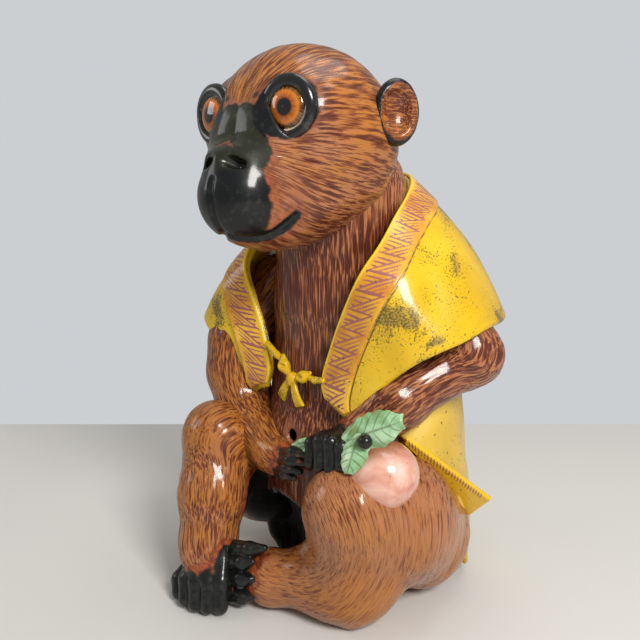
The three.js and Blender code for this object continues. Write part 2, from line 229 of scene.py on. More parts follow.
def combed(points, lean, way, plain, depth=0.42):
    """Press long tool strokes into the clay: ridges follow the way, and fade where the clay is plain."""
    wander = way + 1.0 * np.stack([ripple(points / 9 + 40 * k) - 0.5 for k in range(3)], 1)
    lock = ripple(wander * [0.55, 0.24, 0.24]) + 0.7 * ripple(wander * [0.8, 0.42, 0.42] + 7)
    out = lean / np.linalg.norm(lean, axis=1)[:, None]
    raised = points + out * ((lock - 0.85) * 2 * depth * (1 - plain))[:, None]
    return np.maximum(raised, [-np.inf, -np.inf, 0])


def coated(name, base, rough=0.35, coat=0.6, coat_rough=0.12, shine=0.25):
    """A glazed material of one colour: the material, its node tree and its shader."""
    made = bpy.data.materials.new(name)
    made.use_nodes = True
    shader = made.node_tree.nodes["Principled BSDF"]
    shader.inputs["Base Color"].default_value = (*base, 1)
    shader.inputs["Roughness"].default_value = rough
    shader.inputs["Coat Weight"].default_value = coat
    shader.inputs["Coat Roughness"].default_value = coat_rough
    shader.inputs["Specular IOR Level"].default_value = shine
    return made, made.node_tree, shader


def feed(tree, value, socket):
    """Link a socket, or set a colour or a number."""
    if isinstance(value, tuple):
        socket.default_value = (*value, 1)
    elif isinstance(value, (int, float)):
        socket.default_value = value
    else:
        tree.links.new(value, socket)


def attribute_of(tree, name, output="Fac"):
    """A vertex attribute's socket."""
    node = tree.nodes.new("ShaderNodeAttribute")
    node.attribute_name = name
    return node.outputs[output]


def noise_of(tree, scale, detail=3.0, distortion=0.0, vector=None):
    """Noise over the piece's own coordinates, or over the vector given."""
    node = tree.nodes.new("ShaderNodeTexNoise")
    if vector is None:
        vector = tree.nodes.new("ShaderNodeTexCoord").outputs["Object"]
    feed(tree, vector, node.inputs["Vector"])
    for key, value in (("Scale", scale), ("Detail", detail), ("Distortion", distortion)):
        node.inputs[key].default_value = value
    return node.outputs["Fac"]


def math_of(tree, operation, *values):
    """Arithmetic on sockets and numbers."""
    node = tree.nodes.new("ShaderNodeMath")
    node.operation = operation
    for value, socket in zip(values, node.inputs):
        feed(tree, value, socket)
    return node.outputs[0]


def range_of(tree, value, low, high, to_low=0.0, to_high=1.0):
    """A value eased from one range to another."""
    node = tree.nodes.new("ShaderNodeMapRange")
    node.interpolation_type = "SMOOTHSTEP"
    feed(tree, value, node.inputs["Value"])
    for key, end in (("From Min", low), ("From Max", high), ("To Min", to_low), ("To Max", to_high)):
        node.inputs[key].default_value = end
    return node.outputs["Result"]


def mix_of(tree, part, a, b):
    """Two colours mixed by a part, each a socket or a colour."""
    node = tree.nodes.new("ShaderNodeMix")
    node.data_type = "RGBA"
    for value, socket in zip((part, a, b), (node.inputs["Factor"], node.inputs[6], node.inputs[7])):
        feed(tree, value, socket)
    return node.outputs[2]


def ramp_of(tree, value, stops):
    """Colours at places along a value."""
    node = tree.nodes.new("ShaderNodeValToRGB")
    feed(tree, value, node.inputs["Fac"])
    while len(node.color_ramp.elements) < len(stops):
        node.color_ramp.elements.new(1.0)
    for element, (place, colour) in zip(node.color_ramp.elements, stops):
        element.position = place
        element.color = (*colour, 1)
    return node.outputs["Color"]


def bump_of(tree, height, distance, strength=1.0):
    """A bump normal from a height."""
    node = tree.nodes.new("ShaderNodeBump")
    node.inputs["Strength"].default_value = strength
    node.inputs["Distance"].default_value = distance
    feed(tree, height, node.inputs["Height"])
    return node.outputs["Normal"]


def combed_fur_group():
    """Combed fur under glaze: colours laid in strokes that follow the way, and the height of the ridges."""
    tree = bpy.data.node_groups.new("Combed fur", "ShaderNodeTree")
    for label, kind in (("Way", "Vector"), ("Rub", "Float"), ("Plain", "Float"), ("Ochre", "Float")):
        tree.interface.new_socket(label, in_out="INPUT", socket_type="NodeSocket" + kind)
    for label, kind in (("Color", "Color"), ("Height", "Float")):
        tree.interface.new_socket(label, in_out="OUTPUT", socket_type="NodeSocket" + kind)
    given = tree.nodes.new("NodeGroupInput").outputs
    out = tree.nodes.new("NodeGroupOutput").inputs

    strokes = noise_of(tree, 1.0, 1.0, 0.12, given["Way"])
    fine = math_of(tree, "MULTIPLY", noise_of(tree, 1.9, 1.0, 0.1, given["Way"]), 0.32)
    weave = math_of(tree, "MULTIPLY_ADD", strokes, 0.68, fine)
    ridge = range_of(tree, weave, 0.40, 0.58)
    patches = noise_of(tree, 42.0, 3.0, 0.6)
    rub = math_of(tree, "ADD", given["Rub"], math_of(tree, "SUBTRACT", patches, 0.5))
    shown = math_of(tree, "MULTIPLY_ADD", math_of(tree, "SUBTRACT", rub, 0.5), 0.22, weave)
    broad = math_of(tree, "ADD", noise_of(tree, 21.0, 2.0, 0.4), given["Ochre"])
    warmth = range_of(tree, broad, 0.85, 1.15)
    groove = mix_of(tree, warmth, (0.085, 0.018, 0.009), (0.100, 0.024, 0.008))
    body = mix_of(tree, warmth, (0.200, 0.052, 0.022), (0.240, 0.066, 0.016))
    crest = mix_of(tree, warmth, (0.39, 0.152, 0.060), (0.41, 0.150, 0.030))
    lower = mix_of(tree, range_of(tree, shown, 0.35, 0.46), groove, body)
    strands = mix_of(tree, range_of(tree, shown, 0.44, 0.55), lower, crest)
    smooth = mix_of(tree, range_of(tree, patches, 0.35, 0.65), (0.19, 0.055, 0.028), (0.34, 0.130, 0.065))
    feed(tree, mix_of(tree, given["Plain"], strands, smooth), out["Color"])
    uncombed = math_of(tree, "SUBTRACT", 1.0, given["Plain"])
    feed(tree, math_of(tree, "MULTIPLY", ridge, uncombed), out["Height"])
    return tree


def fur_glaze():
    """Red-brown body with ochre on the ridges; black brushed on where "black" is below 0, which in the
    hollows and the gap between the legs also stands for painted shade.
    """
    made, tree, shader = coated("fur_glaze", (0.2, 0.05, 0.02), 0.4, 0.5, 0.13, 0.15)
    fur = tree.nodes.new("ShaderNodeGroup")
    fur.node_tree = combed_fur_group()
    for label, output in (("way", "Vector"), ("rub", "Fac"), ("plain", "Fac"), ("ochre", "Fac")):
        feed(tree, attribute_of(tree, label, output), fur.inputs[label.capitalize()])
    strands, ridge = fur.outputs["Color"], fur.outputs["Height"]
    brush = noise_of(tree, 260)
    stray = math_of(tree, "MULTIPLY", math_of(tree, "SUBTRACT", brush, 0.5), 2.6)
    ragged = math_of(tree, "ADD", attribute_of(tree, "black"), stray)
    red = mix_of(tree, range_of(tree, brush, 0.4, 0.6), (0.17, 0.034, 0.012), (0.34, 0.080, 0.022))
    beside = math_of(tree, "MULTIPLY", range_of(tree, ragged, 4.2, 2.2), attribute_of(tree, "red"))
    worn = range_of(tree, brush, 0.52, 0.72)
    black = mix_of(tree, worn, (0.0030, 0.0040, 0.0052), (0.017, 0.018, 0.015))
    olive = mix_of(tree, worn, (0.016, 0.018, 0.010), (0.034, 0.034, 0.020))
    paint = mix_of(tree, attribute_of(tree, "olive"), black, olive)
    painted = range_of(tree, ragged, 0.7, -0.7)
    colour = mix_of(tree, painted, mix_of(tree, beside, strands, red), paint)
    feed(tree, colour, shader.inputs["Base Color"])
    unfilled = math_of(tree, "MULTIPLY_ADD", painted, -0.75, 1.0)
    grit = math_of(tree, "MULTIPLY_ADD", brush, 0.12, math_of(tree, "MULTIPLY", ridge, unfilled))
    feed(tree, bump_of(tree, grit, 0.0006, 0.9), shader.inputs["Normal"])
    feed(tree, range_of(tree, ridge, 0, 1, 0.42, 0.27), shader.inputs["Roughness"])
    return made


FUR_GLAZE = fur_glaze()
NECK = [(0, -1, 196, 43), (0, -9, 243, 41)]
NECK_TOP = 222                # mm above the ground, where the turned body ends inside the neck
WALL = 8                      # thickness of the fired wall
HOLLOW_TOP = 60               # the open base is hollow up to here
BELLY_VENT = np.array([0.0, -45.0, 102.0])
LAP, LAP_SIZE = np.array([-10.0, -52, 22]), np.array([38.0, 34, 38])   # the hollow between the legs


def trunk_clay(p):
    """A turned body flattened front to back, with the neck leaning forward out of it."""
    out = np.hypot(p[:, 0], (p[:, 1] - TRUNK_BACK) / TRUNK_DEPTH)
    wide = np.interp(p[:, 2], TRUNK_HEIGHTS, TRUNK_RADII)
    body = np.maximum((out - wide) * 0.93, p[:, 2] - NECK_TOP)
    total = melt(body, taper(p, NECK[0], NECK[1]), 16)
    total = melt(total, ball(p, (0, -26, 92), (34, 22, 30)), 14)
    total = carve(total, ball(p, LAP, LAP_SIZE), 6)
    total = carve(total, taper(p, (0, -60, 102, 3.6), (0, -20, 102, 3.6)), 2.0)
    hollow = np.maximum(np.maximum(out - wide + WALL, p[:, 2] - HOLLOW_TOP), -ball(p, LAP, LAP_SIZE + WALL))
    total = carve(total, hollow, 3)
    return -melt(-total, p[:, 2], 1.5)


points, faces = skin(trunk_clay, (-70, -62, -3), (70, 80, 288), 1.5)
way = points[:, [2, 0, 1]] / [STROKE * 1.6, SPACING, SPACING]
out = np.hypot(points[:, 0], (points[:, 1] - TRUNK_BACK) / TRUNK_DEPTH)
inside = out < np.interp(points[:, 2], TRUNK_HEIGHTS, TRUNK_RADII) - 5
inside &= points[:, 2] < HOLLOW_TOP + 2
in_lap = ball(points, LAP, LAP_SIZE) - 3
inside &= in_lap > 2
from_vent = np.linalg.norm(points - BELLY_VENT, axis=1)
plain = np.maximum(np.clip(1.6 - from_vent / 7, 0, 1), inside)
rub = 0.08 + 0.30 * np.clip((points[:, 2] - 225) / 15, 0, 1) + 0.22 * (points[:, 1] > 0)
# Black inside the open base and in the vent hole is painted shade of those hollows; the black over the hollow
# between the legs is black glaze and painted shade of that hollow together.
black = np.minimum(np.where(inside | (from_vent < 5.5), -4.0, 20.0), in_lap)
raised = combed(points, slope(trunk_clay, points), way, plain)
trunk = fired("trunk", raised, faces, way=way, plain=plain, rub=rub, black=black, olive=0, red=0,
              ochre=0.35)
trunk.data.materials.append(FUR_GLAZE)
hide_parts("torso_shell")

# ------------------------------------------------------------------------------------------------
# The head: cast with the trunk, its muzzle built out and smoothed, sockets cut for the glass eyes.
# The muzzle, the bridge of the nose, the brows and the lids are brushed with black slip.
# ------------------------------------------------------------------------------------------------

SIDES = (1, -1)
HEAD_TURN = math.radians(6)   # the head looks round towards its own left
HEAD_AT = np.array([0, -38.5, 0])
EYE = np.array([26.0, -81.5, 285.8])
SKULL, FUR_RING = 53, 38      # about the skull's radius, and the radius at which strokes are SPACING apart
MOUTH = [(0, -103, 223.5, 1.5), (5, -98, 221.5, 1.6), (10, -94, 221.0, 1.6), (15, -88, 222.6, 1.6),
         (19.5, -84, 224.6, 1.5), (24, -80.5, 228.6, 1.3), (27.5, -78.3, 233.0, 0.9)]
LIP_LINE = [(0, -105.5, 249, 1.0), (0, -108.5, 241, 1.0), (0, -108, 232, 1.1), (0, -104, 223, 1.2)]


def turned(p, angle):
    """Points turned about the head's upright axis."""
    cosine, sine = math.cos(angle), math.sin(angle)
    q = p - HEAD_AT
    x, y = q[:, 0] * cosine - q[:, 1] * sine, q[:, 1] * cosine + q[:, 0] * sine
    return np.stack([x, y, q[:, 2]], 1) + HEAD_AT


def to_head(p):
    """Points as they lie once the head is turned back to look straight ahead."""
    return turned(p, -HEAD_TURN)


def from_head(p):
    """The other way: points of the straight head, turned to where they belong."""
    return turned(p, HEAD_TURN)


def mirrored(p):
    """The same points with the right half folded on to the left."""
    q = p.copy()
    q[:, 0] = np.abs(q[:, 0])
    return q


def head_form(p):
    """Braincase, cheeks, chin, muzzle and brows melted together, the head looking straight ahead."""
    q = mirrored(p)
    total = ball(p, (0, -38.5, 272), 53.5)
    total = melt(total, ball(p, (0, -61, 243), (36, 32, 29.5)), 12)
    total = melt(total, ball(p, (0, -76, 228), (20, 18, 13)), 8)
    total = melt(total, ball(q, (26, -65, 284), (19, 17.5, 19)), 8)
    total = melt(total, ball(p, (0, -90.5, 242.5), (23, 21, 23)), 8)
    total = melt(total, taper(q, (8, -74.5, 289, 8), (12, -83.5, 263, 11)), 13)
    return melt(total, ball(p, (0, -95, 261), (13, 11, 7)), 9)


def on_the_face(stops):
    """The same stops slid along the slope until they lie on the surface of the head."""
    stops = np.array(stops, float)
    for _ in range(6):
        lean = slope(head_form, stops[:, :3])
        gap = head_form(stops[:, :3].astype(np.float32)) / np.einsum("ij,ij->i", lean, lean)
        stops[:, :3] -= gap[:, None] * lean
    return stops


MOUTH, LIP_LINE = on_the_face(MOUTH), on_the_face(LIP_LINE)


def head_clay(p):
    """The head turned, with its sockets, nostrils and mouth pressed in."""
    p = to_head(p)
    q = mirrored(p)
    total = carve(head_form(p), taper(q, (5.5, -108, 261, 2.8), (11, -100, 257.5, 3.4)), 2.5)
    total = carve(total, limb(p, LIP_LINE, 1), 2.4)
    total = carve(total, limb(q, MOUTH, 1), 2.4)
    return carve(total, ball(q, EYE, (14, 6, 14)), 3)


points, faces = skin(head_clay, (-62, -116, 206), (62, 22, 330), 0.88)
straight = to_head(points)
folded = mirrored(straight)
spoke = straight - [0, -38.5, 264.0]
outward = spoke / np.linalg.norm(spoke, axis=1)[:, None]
facing = np.array([0, -0.99, 0.1])
turn = np.arccos(np.clip(outward @ facing, -1, 1))
across = outward - (outward @ facing)[:, None] * facing
across /= np.linalg.norm(across, axis=1)[:, None] + 1e-6
ring = across * FUR_RING / SPACING
way = np.stack([turn * SKULL / STROKE, ring[:, 0], ring[:, 2]], 1)
eye_gap = np.linalg.norm((folded - EYE) * [1, 0.6, 1], axis=1)
mouth_height = np.interp(folded[:, 0], [0, 5, 10, 15, 19.5, 24, 27.5, 40],
                         [222.5, 220.5, 220, 221.6, 223.6, 227.6, 232, 250])
muzzle = ball(straight, (0, -96, 242), (23.5, 24, 27))
bridge = taper(folded, (5, -90, 280, 9.5), (12, -92, 263, 11.5))
brow = taper(folded, (10, -90, 293, 2.5), (24, -86, 304, 1.5))
lips = limb(folded, MOUTH, 1) - 2.2
over_chin = mouth_height - 1.0 - straight[:, 2]
black = np.minimum.reduce([np.maximum(muzzle, over_chin), bridge, eye_gap - 15.8, lips, brow])
olive = np.clip((straight[:, 2] - 254) / 6, 0, 1) * (eye_gap > 17)
patch = np.clip(1.6 - np.linalg.norm((folded - [23, -84, 238]) / [13, 16, 13], axis=1), 0, 1)
upper_patch = np.clip(1.7 - np.linalg.norm((folded - [25, -82, 258]) / [9, 12, 7], axis=1), 0, 1)
red = 0.5 * np.clip(np.maximum(patch, upper_patch) * 1.6, 0, 1)
plain = np.clip(np.maximum(patch * 0.45, np.clip((2.5 - black) / 3, 0, 1)), 0, 1)
crown = np.clip((straight[:, 2] - 262) / 40, 0, 1)
chin = np.clip((238 - straight[:, 2]) / 14, 0, 1)
rub = 0.56 - 0.16 * crown - 0.12 * chin - 0.25 * np.clip((26 - eye_gap) / 10, 0, 1)
raised = combed(points, slope(head_clay, points), way, plain, 0.36)
head = fired("head", raised, faces, way=way, plain=plain, rub=rub, black=black, olive=olive, red=red,
             ochre=0.35 + 0.35 * crown)
head.data.materials.append(FUR_GLAZE)
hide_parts("head_shell")

# ------------------------------------------------------------------------------------------------
# The ears: two small cups pressed from slabs and luted to the head, their rims brushed black.
# ------------------------------------------------------------------------------------------------

EAR_AT = np.array([55.0, -28, 286.5])
EAR_SIZE = (6.5, 13.5, 17.5)  # half of its thickness, width and height
EAR_TURN = math.radians(-25)

for name, side in (("left_ear", 1), ("right_ear", -1)):

    def ear_frame(p):
        """Points seen from the ear's own middle, folded to the left and turned to face forward."""
        q = to_head(p) * [side, 1, 1] - EAR_AT
        cosine, sine = math.cos(EAR_TURN), math.sin(EAR_TURN)
        x, y = q[:, 0] * cosine + q[:, 1] * sine, q[:, 1] * cosine - q[:, 0] * sine
        return np.stack([x, y, q[:, 2]], 1)

    def ear_clay(p):
        """A flat ellipsoid with a bowl pressed into its front."""
        q = ear_frame(p)
        shell = ball(q, (0, 0, 0), EAR_SIZE)
        return carve(shell, ball(q, (5.5, -2, 0), (7, 9.5, 12.5)), 2.5)

    middle = from_head(EAR_AT[None] * [side, 1, 1])[0]
    points, faces = skin(ear_clay, middle - [16, 18, 20], middle + [16, 18, 20], 0.75)
    local = ear_frame(points)
    radial = np.hypot(local[:, 1] / EAR_SIZE[1], local[:, 2] / EAR_SIZE[2])
    black = 4 - 14 * np.clip(radial - 0.55, 0, 1)
    way = local / [SPACING, STROKE, SPACING]
    raised = combed(points, slope(ear_clay, points), way, 0.3, 0.3)
    ear = fired(name, raised, faces, way=way, plain=0.2, rub=0.40, black=black, olive=0, red=0, ochre=0.5)
    ear.data.materials.append(FUR_GLAZE)
    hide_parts(name)

# ------------------------------------------------------------------------------------------------
# The arms and hands: cast solid and luted on at the shoulder; the fingers are cut and curled by hand,
# then brushed black, with tongues of the red body colour left between them.
# ------------------------------------------------------------------------------------------------

LEFT_ARM = [(56, 12, 184, 22), (79.5, 19, 153, 16), (58, -23, 129, 15), (44, -41, 111, 12)]
RIGHT_ARM = [(-56, -4, 184, 22), (-66, -34, 150, 19), (-63, -39, 128, 18.5), (-52, -41, 104, 17),
             (-15, -51, 88, 13)]
LEFT_FINGERS = [[(29, -51, 109, 3.8), (27.8, -60, 106.6, 4.0), (30, -63.5, 97, 3.7)],
                [(35, -51, 111, 4.0), (35.5, -61, 110, 4.2), (38.2, -64, 96.8, 3.9)],
                [(41, -50, 113, 4.0), (42.8, -61, 111.5, 4.2), (46, -64, 97, 3.9)],
                [(47, -49, 112, 3.8), (50, -60, 110.5, 4.0), (53, -63, 100.5, 3.7)]]
LEFT_THUMB = [(50, -44, 112, 4.5), (67, -60.5, 117.5, 3.9)]
RIGHT_FINGERS = [[(2, -58, 94, 3.0), (15.5, -63, 99.5, 3.1), (26, -60.5, 99.5, 2.1)],
                 [(0, -59, 89, 3.0), (13.5, -64, 94, 3.1), (23, -61, 94, 2.1)],
                 [(-1, -59, 84, 3.0), (10.5, -63.5, 88.5, 3.1), (19, -61, 88, 2.0)],
                 [(-2, -58, 79.5, 2.9), (7, -62, 83, 2.9), (13, -60, 82, 1.9)]]


def fingers_of(p, fingers):
    """The nearest of the fingers, each a short limb of its own."""
    return np.minimum.reduce([limb(p, finger, 2) for finger in fingers])


def left_arm_clay(p):
    """Arm, back of the hand, four curled fingers and a thumb."""
    palm = melt(limb(p, LEFT_ARM, 10), ball(p, (41, -47, 105), (12, 9.5, 9.5)), 6)
    return melt(melt(palm, fingers_of(p, LEFT_FINGERS), 1.2), limb(p, LEFT_THUMB), 2)


def right_arm_clay(p):
    """Arm, back of the hand and four fingers laid across."""
    palm = melt(limb(p, RIGHT_ARM, 10), ball(p, (-3, -54, 88), (12, 9, 11)), 7)
    return melt(palm, fingers_of(p, RIGHT_FINGERS), 1.2)


# The gap is painted black: partly black glaze, partly painted shade of the gap between the legs.
GAP = ((-16, -38, 50), (35, 29, 30))    # the dark gap between the legs, brushed black inside


def make_limb(name, clay, way_of, digits, low, high, step, rub, end, webs, ochre):
    """One limb with its hand or foot, meshed, combed and painted; webs is how far the black creeps."""
    points, faces = skin(clay, low, high, step)
    way = way_of(points)
    black = digits(points) - webs
    if end == "foot":
        # The leg surfaces inside the gap get the same black, partly painted shade.
        black = np.minimum(black, ball(points, *GAP))
    plain = np.clip((3 - black) / 4, 0, 1)
    raised = combed(points, slope(clay, points), way, plain)
    side, part = name.split("_")
    piece = fired(name, raised, faces, way=way, plain=plain, rub=rub(points), black=black, olive=0.3, red=1,
                  ochre=ochre)
    piece.data.materials.append(FUR_GLAZE)
    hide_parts(f"{side}_{part}", f"{side}_{end}")


def left_digits(p):
    """How far a point is from the fingers or the tip of the thumb."""
    return np.minimum(fingers_of(p, LEFT_FINGERS), taper(p, (64, -57, 116.5, 4), LEFT_THUMB[-1]))


def left_arm_rub(p):
    """A little more ochre on the forearm."""
    return 0.32 + 0.10 * (p[:, 2] < 125)


def right_arm_rub(p):
    """More ochre from the elbow down."""
    return 0.34 + 0.12 * np.clip((150 - p[:, 2]) / 40, 0, 1)


make_limb("left_arm", left_arm_clay, lambda p: way_along(p, LEFT_ARM), left_digits,
          (14, -72, 86), (98, 38, 210), 0.85, left_arm_rub, "hand", 2.0, 0.30)
make_limb("right_arm", right_arm_clay, lambda p: way_along(p, RIGHT_ARM),
          lambda p: fingers_of(p, RIGHT_FINGERS), (-90, -70, 68), (32, 24, 210), 0.9, right_arm_rub,
          "hand", 0.7, 0.62)

# ------------------------------------------------------------------------------------------------
# The legs and feet: cast with the hips, drawn up and crossed at the toes; flat where they rest.
# ------------------------------------------------------------------------------------------------

LEFT_LEG = [(46, 12, 36, 35), (50, -18, 58, 35), (52, -55, 74.5, 22.5), (41, -42, 24, 24), (3, -63, 17, 15.5)]
RIGHT_LEG = [(-50, 8, 36, 34), (-53, -64, 93, 20.5), (-44, -76, 60, 20), (-37, -86, 32, 16),
             (-31, -89, 20, 14)]
LEFT_TOES = [[(-19, -79, 34, 5.0), (-8, -77, 36.5, 4.4), (1, -73, 39, 2.0)],
             [(-18, -83, 27.5, 5.0), (-9, -82, 29.5, 4.2), (-2, -80, 32, 1.8)],
             [(-16, -84, 18, 5.2), (-9, -83, 19.5, 4.3), (-2, -82, 21.5, 1.8)],
             [(-15, -84, 7, 5.2), (-9, -83, 7.5, 4.3), (-3, -81.5, 8.5, 1.8)]]
RIGHT_TOES = [[(-49, -95, 15, 4.0), (-47.5, -100, 11, 5.0), (-44, -103, 5.2, 4.8)],
              [(-42, -94, 23, 3.6), (-38.5, -101, 15, 5.0), (-34.5, -104.5, 5.2, 4.9)],
              [(-33.5, -93, 27, 3.4), (-29.5, -100.5, 17, 4.9), (-26, -103.5, 5.2, 4.9)],
              [(-27, -89.5, 30, 3.4), (-22.5, -97, 18, 4.8), (-19, -100.5, 5.2, 4.8)],
              [(-21, -86, 33, 3.4), (-16.5, -92, 19, 4.8), (-13.5, -95.5, 5.2, 4.8)]]


def on_the_ground(total, p):
    """Cut flat at the ground, the edge rounded a little."""
    return -melt(-total, p[:, 2], 1.5)


def left_leg_clay(p):
    """Hip, thigh, knee and shin in one mass, with the foot laid flat behind the right one."""
    total = melt(limb(p, LEFT_LEG, 16), ball(p, (-5, -67, 16), (17, 14, 17)), 8)
    return on_the_ground(melt(total, fingers_of(p, LEFT_TOES), 1.8), p)


def right_leg_clay(p):
    """Thigh raised over an arch, shin coming down to a broad foot with five toes."""
    total = melt(limb(p, RIGHT_LEG, 9), ball(p, (-30, -90, 12), (18, 11, 12)), 8)
    total = melt(total, ball(p, (-52, -30, 53), (24, 24, 27)), 8)
    return on_the_ground(melt(total, fingers_of(p, RIGHT_TOES), 1.1), p)


def left_leg_way(p):
    """Strokes run in arcs round the gap between the legs, from the knee down and along to the toes."""
    outward = np.array([0.6, -0.8, 0.0])
    beside, q = np.array([0.8, 0.6, 0.0]), p - [-6, -50, 62]
    right, up = q @ beside, q[:, 2]
    radius = np.hypot(right, up)
    return np.stack([np.arctan2(up, right) * 45 / STROKE, radius / SPACING, q @ outward / SPACING / 4], 1)


def left_leg_rub(p):
    """Ochre over the shin and knee, less at the hip."""
    return 0.86 - 0.1 * (p[:, 1] > -10)


def right_leg_rub(p):
    """Ochre that thins out towards the ground."""
    return 0.58 - 0.1 * np.clip((40 - p[:, 2]) / 40, 0, 1)


make_limb("left_leg", left_leg_clay, left_leg_way, lambda p: fingers_of(p, LEFT_TOES),
          (-34, -94, -3), (90, 52, 106), 1.0, left_leg_rub, "foot", 1.6, 0.38)
make_limb("right_leg", right_leg_clay, lambda p: way_along(p, RIGHT_LEG), lambda p: fingers_of(p, RIGHT_TOES),
          (-88, -112, -3), (-4, 48, 118), 1.0, right_leg_rub, "foot", 2.2, 0.58)

# ------------------------------------------------------------------------------------------------
# The eyes: domed glass with an amber iris painted behind and a round pupil, each held in a thick
# bead of clay brushed black, with a crescent of pale putty showing at its lower edge.
# ------------------------------------------------------------------------------------------------

EYE_TURN = math.radians(9)
GLASS, DOME = 10.4, 4.0       # radius of the glass and how far it bulges
BEAD, BEAD_REACH = 3.0, 12.6  # radius of the clay bead, and of the circle that it follows


def grid_faces(rows, columns, round_rows=False, round_columns=False):
    """Quads over a grid of points numbered row by row; either way may close on itself."""
    last_row, last_column = rows - (not round_rows), columns - (not round_columns)
    i, j = (g.ravel() for g in np.meshgrid(np.arange(last_row), np.arange(last_column), indexing="ij"))
    up, along = (i + 1) % rows, (j + 1) % columns
    return np.stack([i * columns + j, up * columns + j, up * columns + along, i * columns + along], 1)


def eye_place(side, a, b, height):
    """Points on the eye's own axes: a across the face, b up, height out along the eye's axis."""
    turn_angle = side * EYE_TURN
    outward_x, outward_y = math.sin(turn_angle), -math.cos(turn_angle)
    x = side * EYE[0] + a * math.cos(turn_angle) + height * outward_x
    y = EYE[1] + a * math.sin(turn_angle) + height * outward_y
    return from_head(np.stack([x.ravel(), y.ravel(), (EYE[2] + b).ravel()], 1))


EYE_GLASS, tree, shader = coated("eye_glass", (0.5, 0.15, 0.02), 0.10, 1.0, 0.02)
fleck = noise_of(tree, 9, 4, 0.5, attribute_of(tree, "ray", "Vector"))
from_middle = attribute_of(tree, "from_middle")
iris = ramp_of(tree, from_middle, [(0.0, (0.003, 0.003, 0.004)), (0.37, (0.003, 0.003, 0.004)),
                                         (0.40, (0.13, 0.024, 0.002)), (0.58, (0.38, 0.080, 0.004)),
                                         (0.74, (0.56, 0.150, 0.008)), (0.82, (0.16, 0.040, 0.006)),
                                         (0.87, (0.012, 0.008, 0.005))])
veined = mix_of(tree, range_of(tree, fleck, 0.35, 0.7, 0.0, 0.45), iris, (0.66, 0.25, 0.03))
in_iris = range_of(tree, from_middle, 0.42, 0.48)
feed(tree, mix_of(tree, in_iris, iris, veined), shader.inputs["Base Color"])
shader.inputs["IOR"].default_value = 1.52

EYE_RIM, tree, shader = coated("black_bead", (0.006, 0.007, 0.009), 0.28, 0.8, 0.10)
daub = noise_of(tree, 240, 3)
worn = mix_of(tree, range_of(tree, daub, 0.56, 0.72), (0.0055, 0.0060, 0.0075), (0.050, 0.040, 0.028))
putty_mask = range_of(tree, attribute_of(tree, "putty"), 0.42, 0.58)
feed(tree, mix_of(tree, putty_mask, worn, (0.56, 0.47, 0.33)), shader.inputs["Base Color"])
feed(tree, bump_of(tree, daub, 0.0004, 0.7), shader.inputs["Normal"])

for side, word in ((1, "left"), (-1, "right")):
    ring, spoke_count = 40, 96
    part = np.linspace(0, 1, ring)[1:]
    angle = np.linspace(0, 2 * np.pi, spoke_count, endpoint=False)
    front_radius = GLASS * np.sin(part * np.pi / 2)
    front_height = DOME * np.cos(part * np.pi / 2) ** 0.9 + 0.9
    radius = np.concatenate([front_radius, [9.7, 5.0]])
    height = np.concatenate([front_height, [-1.2, -1.5]])
    shape = eye_place(side, radius[:, None] * np.cos(angle), radius[:, None] * np.sin(angle),
                      np.repeat(height[:, None], spoke_count, 1))
    caps = eye_place(side, np.zeros(2), np.zeros(2), np.array([DOME + 0.9, -1.5]))
    first, last = len(shape), len(shape) + 1
    end = (len(radius) - 1) * spoke_count
    faces = grid_faces(len(radius), spoke_count, False, True)[:, ::-1].tolist()
    around = np.arange(spoke_count)
    faces += np.stack([np.full(spoke_count, first), around, (around + 1) % spoke_count], 1).tolist()
    back = np.stack([np.full(spoke_count, last), end + (around + 1) % spoke_count, end + around], 1)
    faces += back.tolist()
    share = np.concatenate([np.repeat(radius / GLASS, spoke_count), [0, 0]])
    ray = np.stack([np.tile(np.cos(angle) * 1.6, len(radius)), np.tile(np.sin(angle) * 1.6, len(radius)),
                    np.repeat(radius / 60.0, spoke_count)], 1)
    ray = np.concatenate([ray, np.zeros((2, 3))])
    share[-1] = 0.99
    eye = fired(f"{word}_eye", np.concatenate([shape, caps]), faces, from_middle=share, ray=ray)
    eye.data.materials.append(EYE_GLASS)
    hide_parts(f"{word}_eye_glass", f"{word}_eye_iris")

    around, section = 160, 40
    a = np.linspace(0, 2 * np.pi, around, endpoint=False)[:, None]
    b = np.linspace(0, 2 * np.pi, section, endpoint=False)[None, :]
    lid = 1 + 0.22 * np.clip(np.sin(a), 0, 1)
    uneven = 0.18 * np.sin(3 * a + 1) + 0.12 * np.sin(7 * a + 2 * b)
    tube = BEAD * lid + uneven * 0.5
    reach = BEAD_REACH + tube * np.cos(b)
    shape = eye_place(side, reach * np.cos(a), reach * np.sin(a) * 1.03, 0.6 + 2.7 * lid * np.sin(b))
    sweep = np.cos(a - math.radians(-50))
    putty = np.clip((sweep - 0.55) * 4, 0, 1) * np.exp(-((b - math.radians(138)) / 0.36) ** 2)
    rim = fired(f"{word}_eye_bead", shape, grid_faces(around, section, True, True)[:, ::-1],
                putty=putty.ravel())
    rim.data.materials.append(EYE_RIM)
    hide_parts(f"{word}_eye_rim")

# ------------------------------------------------------------------------------------------------
# The cape: a rolled sheet of clay draped round the shoulders, standing up behind the neck and
# meeting in front; its edges were rounded with a wet sponge.  Bright yellow glaze, rubbed in places.
# ------------------------------------------------------------------------------------------------

